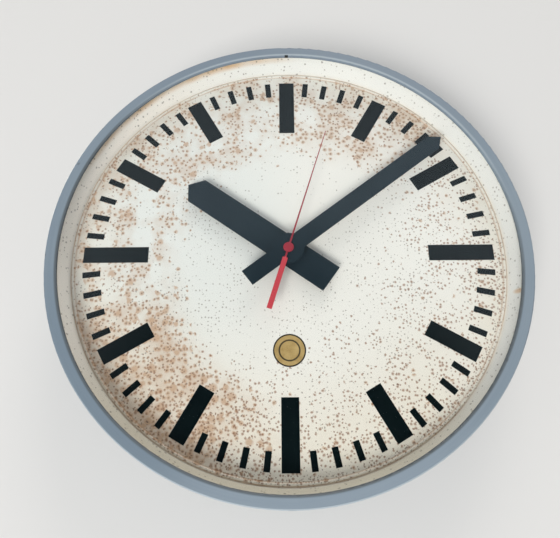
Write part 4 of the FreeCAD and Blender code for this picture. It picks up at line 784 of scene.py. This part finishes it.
pole_sign("plus_sign", battery_high.x - SIGN_INSET, upright=True)
pole_sign("minus_sign", battery_low.x + SIGN_INSET, upright=False)
arrow_centre = (knob_middle.x, SIGN_DEPTH, knob_middle.z)
select_only()
bpy.ops.mesh.primitive_plane_add(size=1, location=(knob_middle.x + ARROW_RADIUS, SIGN_DEPTH, knob_middle.z))
arrow = bpy.context.object
arrow.name = "set_arrow"
arrow.scale = (SIGN_WIDTH, SIGN_THICKNESS, 1)
settle(arrow)
choose(arrow, "FACE", lambda face: True)
bpy.ops.mesh.spin(steps=20, angle=ARROW_SWEEP, center=arrow_centre, axis=(0, 1, 0))
merge_outward()
select_only()
bpy.ops.mesh.primitive_cylinder_add(
    vertices=3, radius=ARROW_HEAD, depth=SIGN_THICKNESS, rotation=(math.pi / 2, ARROW_SWEEP + math.pi, 0),
    location=(knob_middle.x + ARROW_RADIUS * math.cos(ARROW_SWEEP), SIGN_DEPTH,
              knob_middle.z - ARROW_RADIUS * math.sin(ARROW_SWEEP)))
head = bpy.context.object
settle(head)
combine(arrow, head, "UNION")
finish_sign(arrow)


# Wheels, plate, rotor and board: moulded in natural acetal, white styrene, dark magnet powder and green
# resin, all slightly waxy. They run and sit inside the movement's housing.
def plastic_material(name, dark, light, rough):
    """Moulded plastic with a soft change of tone."""
    material, tree, shader = new_material(name)
    place = own_place(tree)
    colour = two_tone(tree, place, 220.0, (*dark, 1), (*light, 1))
    feed(tree, shader, colour, mottled(tree, place, 600.0, rough - 0.08, rough + 0.08))
    return material


train_plastic = plastic_material("train_plastic", (0.72, 0.69, 0.6), (0.8, 0.78, 0.7), rough=0.4)
dress(train_plastic, "hour_wheel", "minute_wheel", "centre_wheel", "third_wheel", "second_wheel", "step_wheel")
plate_plastic = plastic_material("plate_plastic", (0.68, 0.68, 0.65), (0.77, 0.77, 0.74), rough=0.5)
dress(plate_plastic, "middle_plate")
rotor_magnet = plastic_material("rotor_magnet", (0.09, 0.09, 0.09), (0.14, 0.14, 0.14), rough=0.55)
dress(rotor_magnet, "rotor")
board_resin = plastic_material("board_resin", (0.04, 0.17, 0.07), (0.07, 0.24, 0.11), rough=0.35)
dress(board_resin, "circuit_board")


# Battery: a plain cell with a dark jacket, a copper-coloured end band and bare steel ends. It lies in the
# housing between the two contacts.
COPPER_BAND = 15 * MM
STEEL_TOP = 1.4 * MM
STEEL_BASE = 0.4 * MM
JACKET_DARK = (0.02, 0.022, 0.026, 1)
JACKET_LIGHT = (0.035, 0.037, 0.042, 1)
JACKET_COPPER = (0.5, 0.22, 0.09, 1)
CELL_STEEL = (0.6, 0.6, 0.58, 1)
battery_jacket, tree, shader = new_material("battery_jacket")
place = own_place(tree)
along = axes_of(tree, place)["X"]
copper = calc(tree, "GREATER_THAN", along, battery_high.x - COPPER_BAND)
bare = calc(tree, "MAXIMUM", calc(tree, "GREATER_THAN", along, battery_high.x - STEEL_TOP),
            calc(tree, "LESS_THAN", along, battery_low.x + STEEL_BASE))
colour = lay_over(tree, copper, two_tone(tree, place, 90.0, JACKET_DARK, JACKET_LIGHT), JACKET_COPPER)
colour = lay_over(tree, bare, colour, CELL_STEEL)
feed(tree, shader, colour, mottled(tree, place, 300.0, 0.22, 0.34))
tree.links.new(calc(tree, "MAXIMUM", bare, times(tree, copper, 0.7)), shader.inputs["Metallic"])
dress(battery_jacket, "battery")


# Wall and floor: pale boards that show the clock's shadow. The wall is there for the camera only and
# from the front only, so that the clock's back is lit and seen from behind.
WALL_PLACE = 0.6 * MM
WALL_WIDTH = 10.0
WALL_TOP = 1.6
FLOOR_HEIGHT = -4.4
FLOOR_WIDTH = 24.0
BOARD_ROUGHNESS = 0.9
PALE_WALL = (0.70, 0.695, 0.685, 1)
PALE_FLOOR = (0.86, 0.855, 0.845, 1)


def new_board(name, place, turn, width, height, colour):
    """Flat board of the stage; returns its material's tree and shader."""
    select_only()
    bpy.ops.mesh.primitive_plane_add(size=1, location=place, rotation=turn)
    board = bpy.context.object
    board.name = name
    board.scale = (width, height, 1)
    settle(board)
    material, tree, shader = new_material(name + "_colour")
    shader.inputs["Base Color"].default_value = colour
    shader.inputs["Roughness"].default_value = BOARD_ROUGHNESS
    board.data.materials.append(material)
    return tree, shader


tree, shader = new_board("wall", (0, WALL_PLACE, (WALL_TOP + FLOOR_HEIGHT) / 2), (math.pi / 2, 0, 0),
                         WALL_WIDTH, WALL_TOP - FLOOR_HEIGHT, PALE_WALL)
see_through = add_node(tree, "ShaderNodeBsdfTransparent")
behind = add_node(tree, "ShaderNodeNewGeometry").outputs["Backfacing"]
seen = add_node(tree, "ShaderNodeLightPath").outputs["Is Camera Ray"]
shown = times(tree, seen, calc(tree, "SUBTRACT", 1.0, behind))
pane = add_node(tree, "ShaderNodeMixShader", {0: shown, 1: see_through.outputs[0], 2: shader.outputs[0]})
tree.links.new(pane.outputs[0], tree.nodes["Material Output"].inputs["Surface"])
new_board("floor", (0, 0, FLOOR_HEIGHT), (0, 0, 0), FLOOR_WIDTH, FLOOR_WIDTH, PALE_FLOOR)


# Light: a large pale window low at the left, a warm one above, one behind for the clock's back, and a pale
# room that is dark only straight in front, where whoever looks at the clock stands. The low window leaves no
# glare on the glass.
ROOM_LIGHT = (0.42, 0.44, 0.46, 1)
ROOM_SEEN = (0.51, 0.58, 0.65, 1)
ROOM_AHEAD = (0.01, 0.02, 0.025, 1)
dial_middle = (dial_low + dial_high) / 2


def new_lamp(name, width, power, place, colour):
    """Square area lamp that points at the middle of the dial."""
    data = bpy.data.lights.new(name, "AREA")
    data.shape = "SQUARE"
    data.size = width
    data.energy = power
    data.color = colour
    lamp = bpy.data.objects.new(name, data)
    bpy.context.scene.collection.objects.link(lamp)
    lamp.location = place
    lamp.rotation_euler = (lamp.location - dial_middle).to_track_quat("Z", "Y").to_euler()
    return lamp


low_window = new_lamp("window_low_left", width=1.8, power=150.0, place=(-1.2, -3.06, -2.9),
                      colour=(1.0, 0.98, 0.95))
low_window.visible_glossy = False
low_window.visible_transmission = False
new_lamp("window_above", width=2.0, power=62.0, place=(0.8, -1.7, 3.6), colour=(1.0, 0.94, 0.87))
new_lamp("window_behind", width=2.0, power=130.0, place=(-2.6, 2.6, 2.0), colour=(1.0, 0.98, 0.96))
world = bpy.data.worlds.new("room")
bpy.context.scene.world = world
world.use_nodes = True
tree = world.node_tree
way = add_node(tree, "ShaderNodeTexCoord").outputs["Generated"]
ahead = vector_math(tree, "DOT_PRODUCT", way, (0, -1, 0), "Value")
ray = add_node(tree, "ShaderNodeLightPath").outputs
mirrored = calc(tree, "MAXIMUM", ray["Is Glossy Ray"], ray["Is Transmission Ray"])
room = lay_over(tree, calc(tree, "MAXIMUM", ray["Is Camera Ray"], mirrored), ROOM_LIGHT, ROOM_SEEN)
unlit = times(tree, fade(tree, ahead, 0.88, 0.97), ray["Is Glossy Ray"])
room = lay_over(tree, unlit, room, ROOM_AHEAD)
tree.links.new(room, tree.nodes["Background"].inputs["Color"])


# Camera: held close in front of the lower half of the dial and tilted up, at the place, angle and focal
# length that the dial's ellipses give.
CAMERA_PLACE = (-0.0060, -0.4707, -0.3095)
CAMERA_TURN = (108.976, 0.361, 0.306)
PICTURE_WIDTH = 560
FOCAL_PIXELS = 521.935
camera_data = bpy.data.cameras.new("camera")
camera_data.sensor_width = 36
camera_data.sensor_fit = "HORIZONTAL"
camera_data.lens = FOCAL_PIXELS / PICTURE_WIDTH * camera_data.sensor_width
camera_data.clip_start = 0.01
camera = bpy.data.objects.new("camera", camera_data)
bpy.context.scene.collection.objects.link(camera)
camera.location = CAMERA_PLACE
camera.rotation_euler = [math.radians(angle) for angle in CAMERA_TURN]
bpy.context.scene.camera = camera
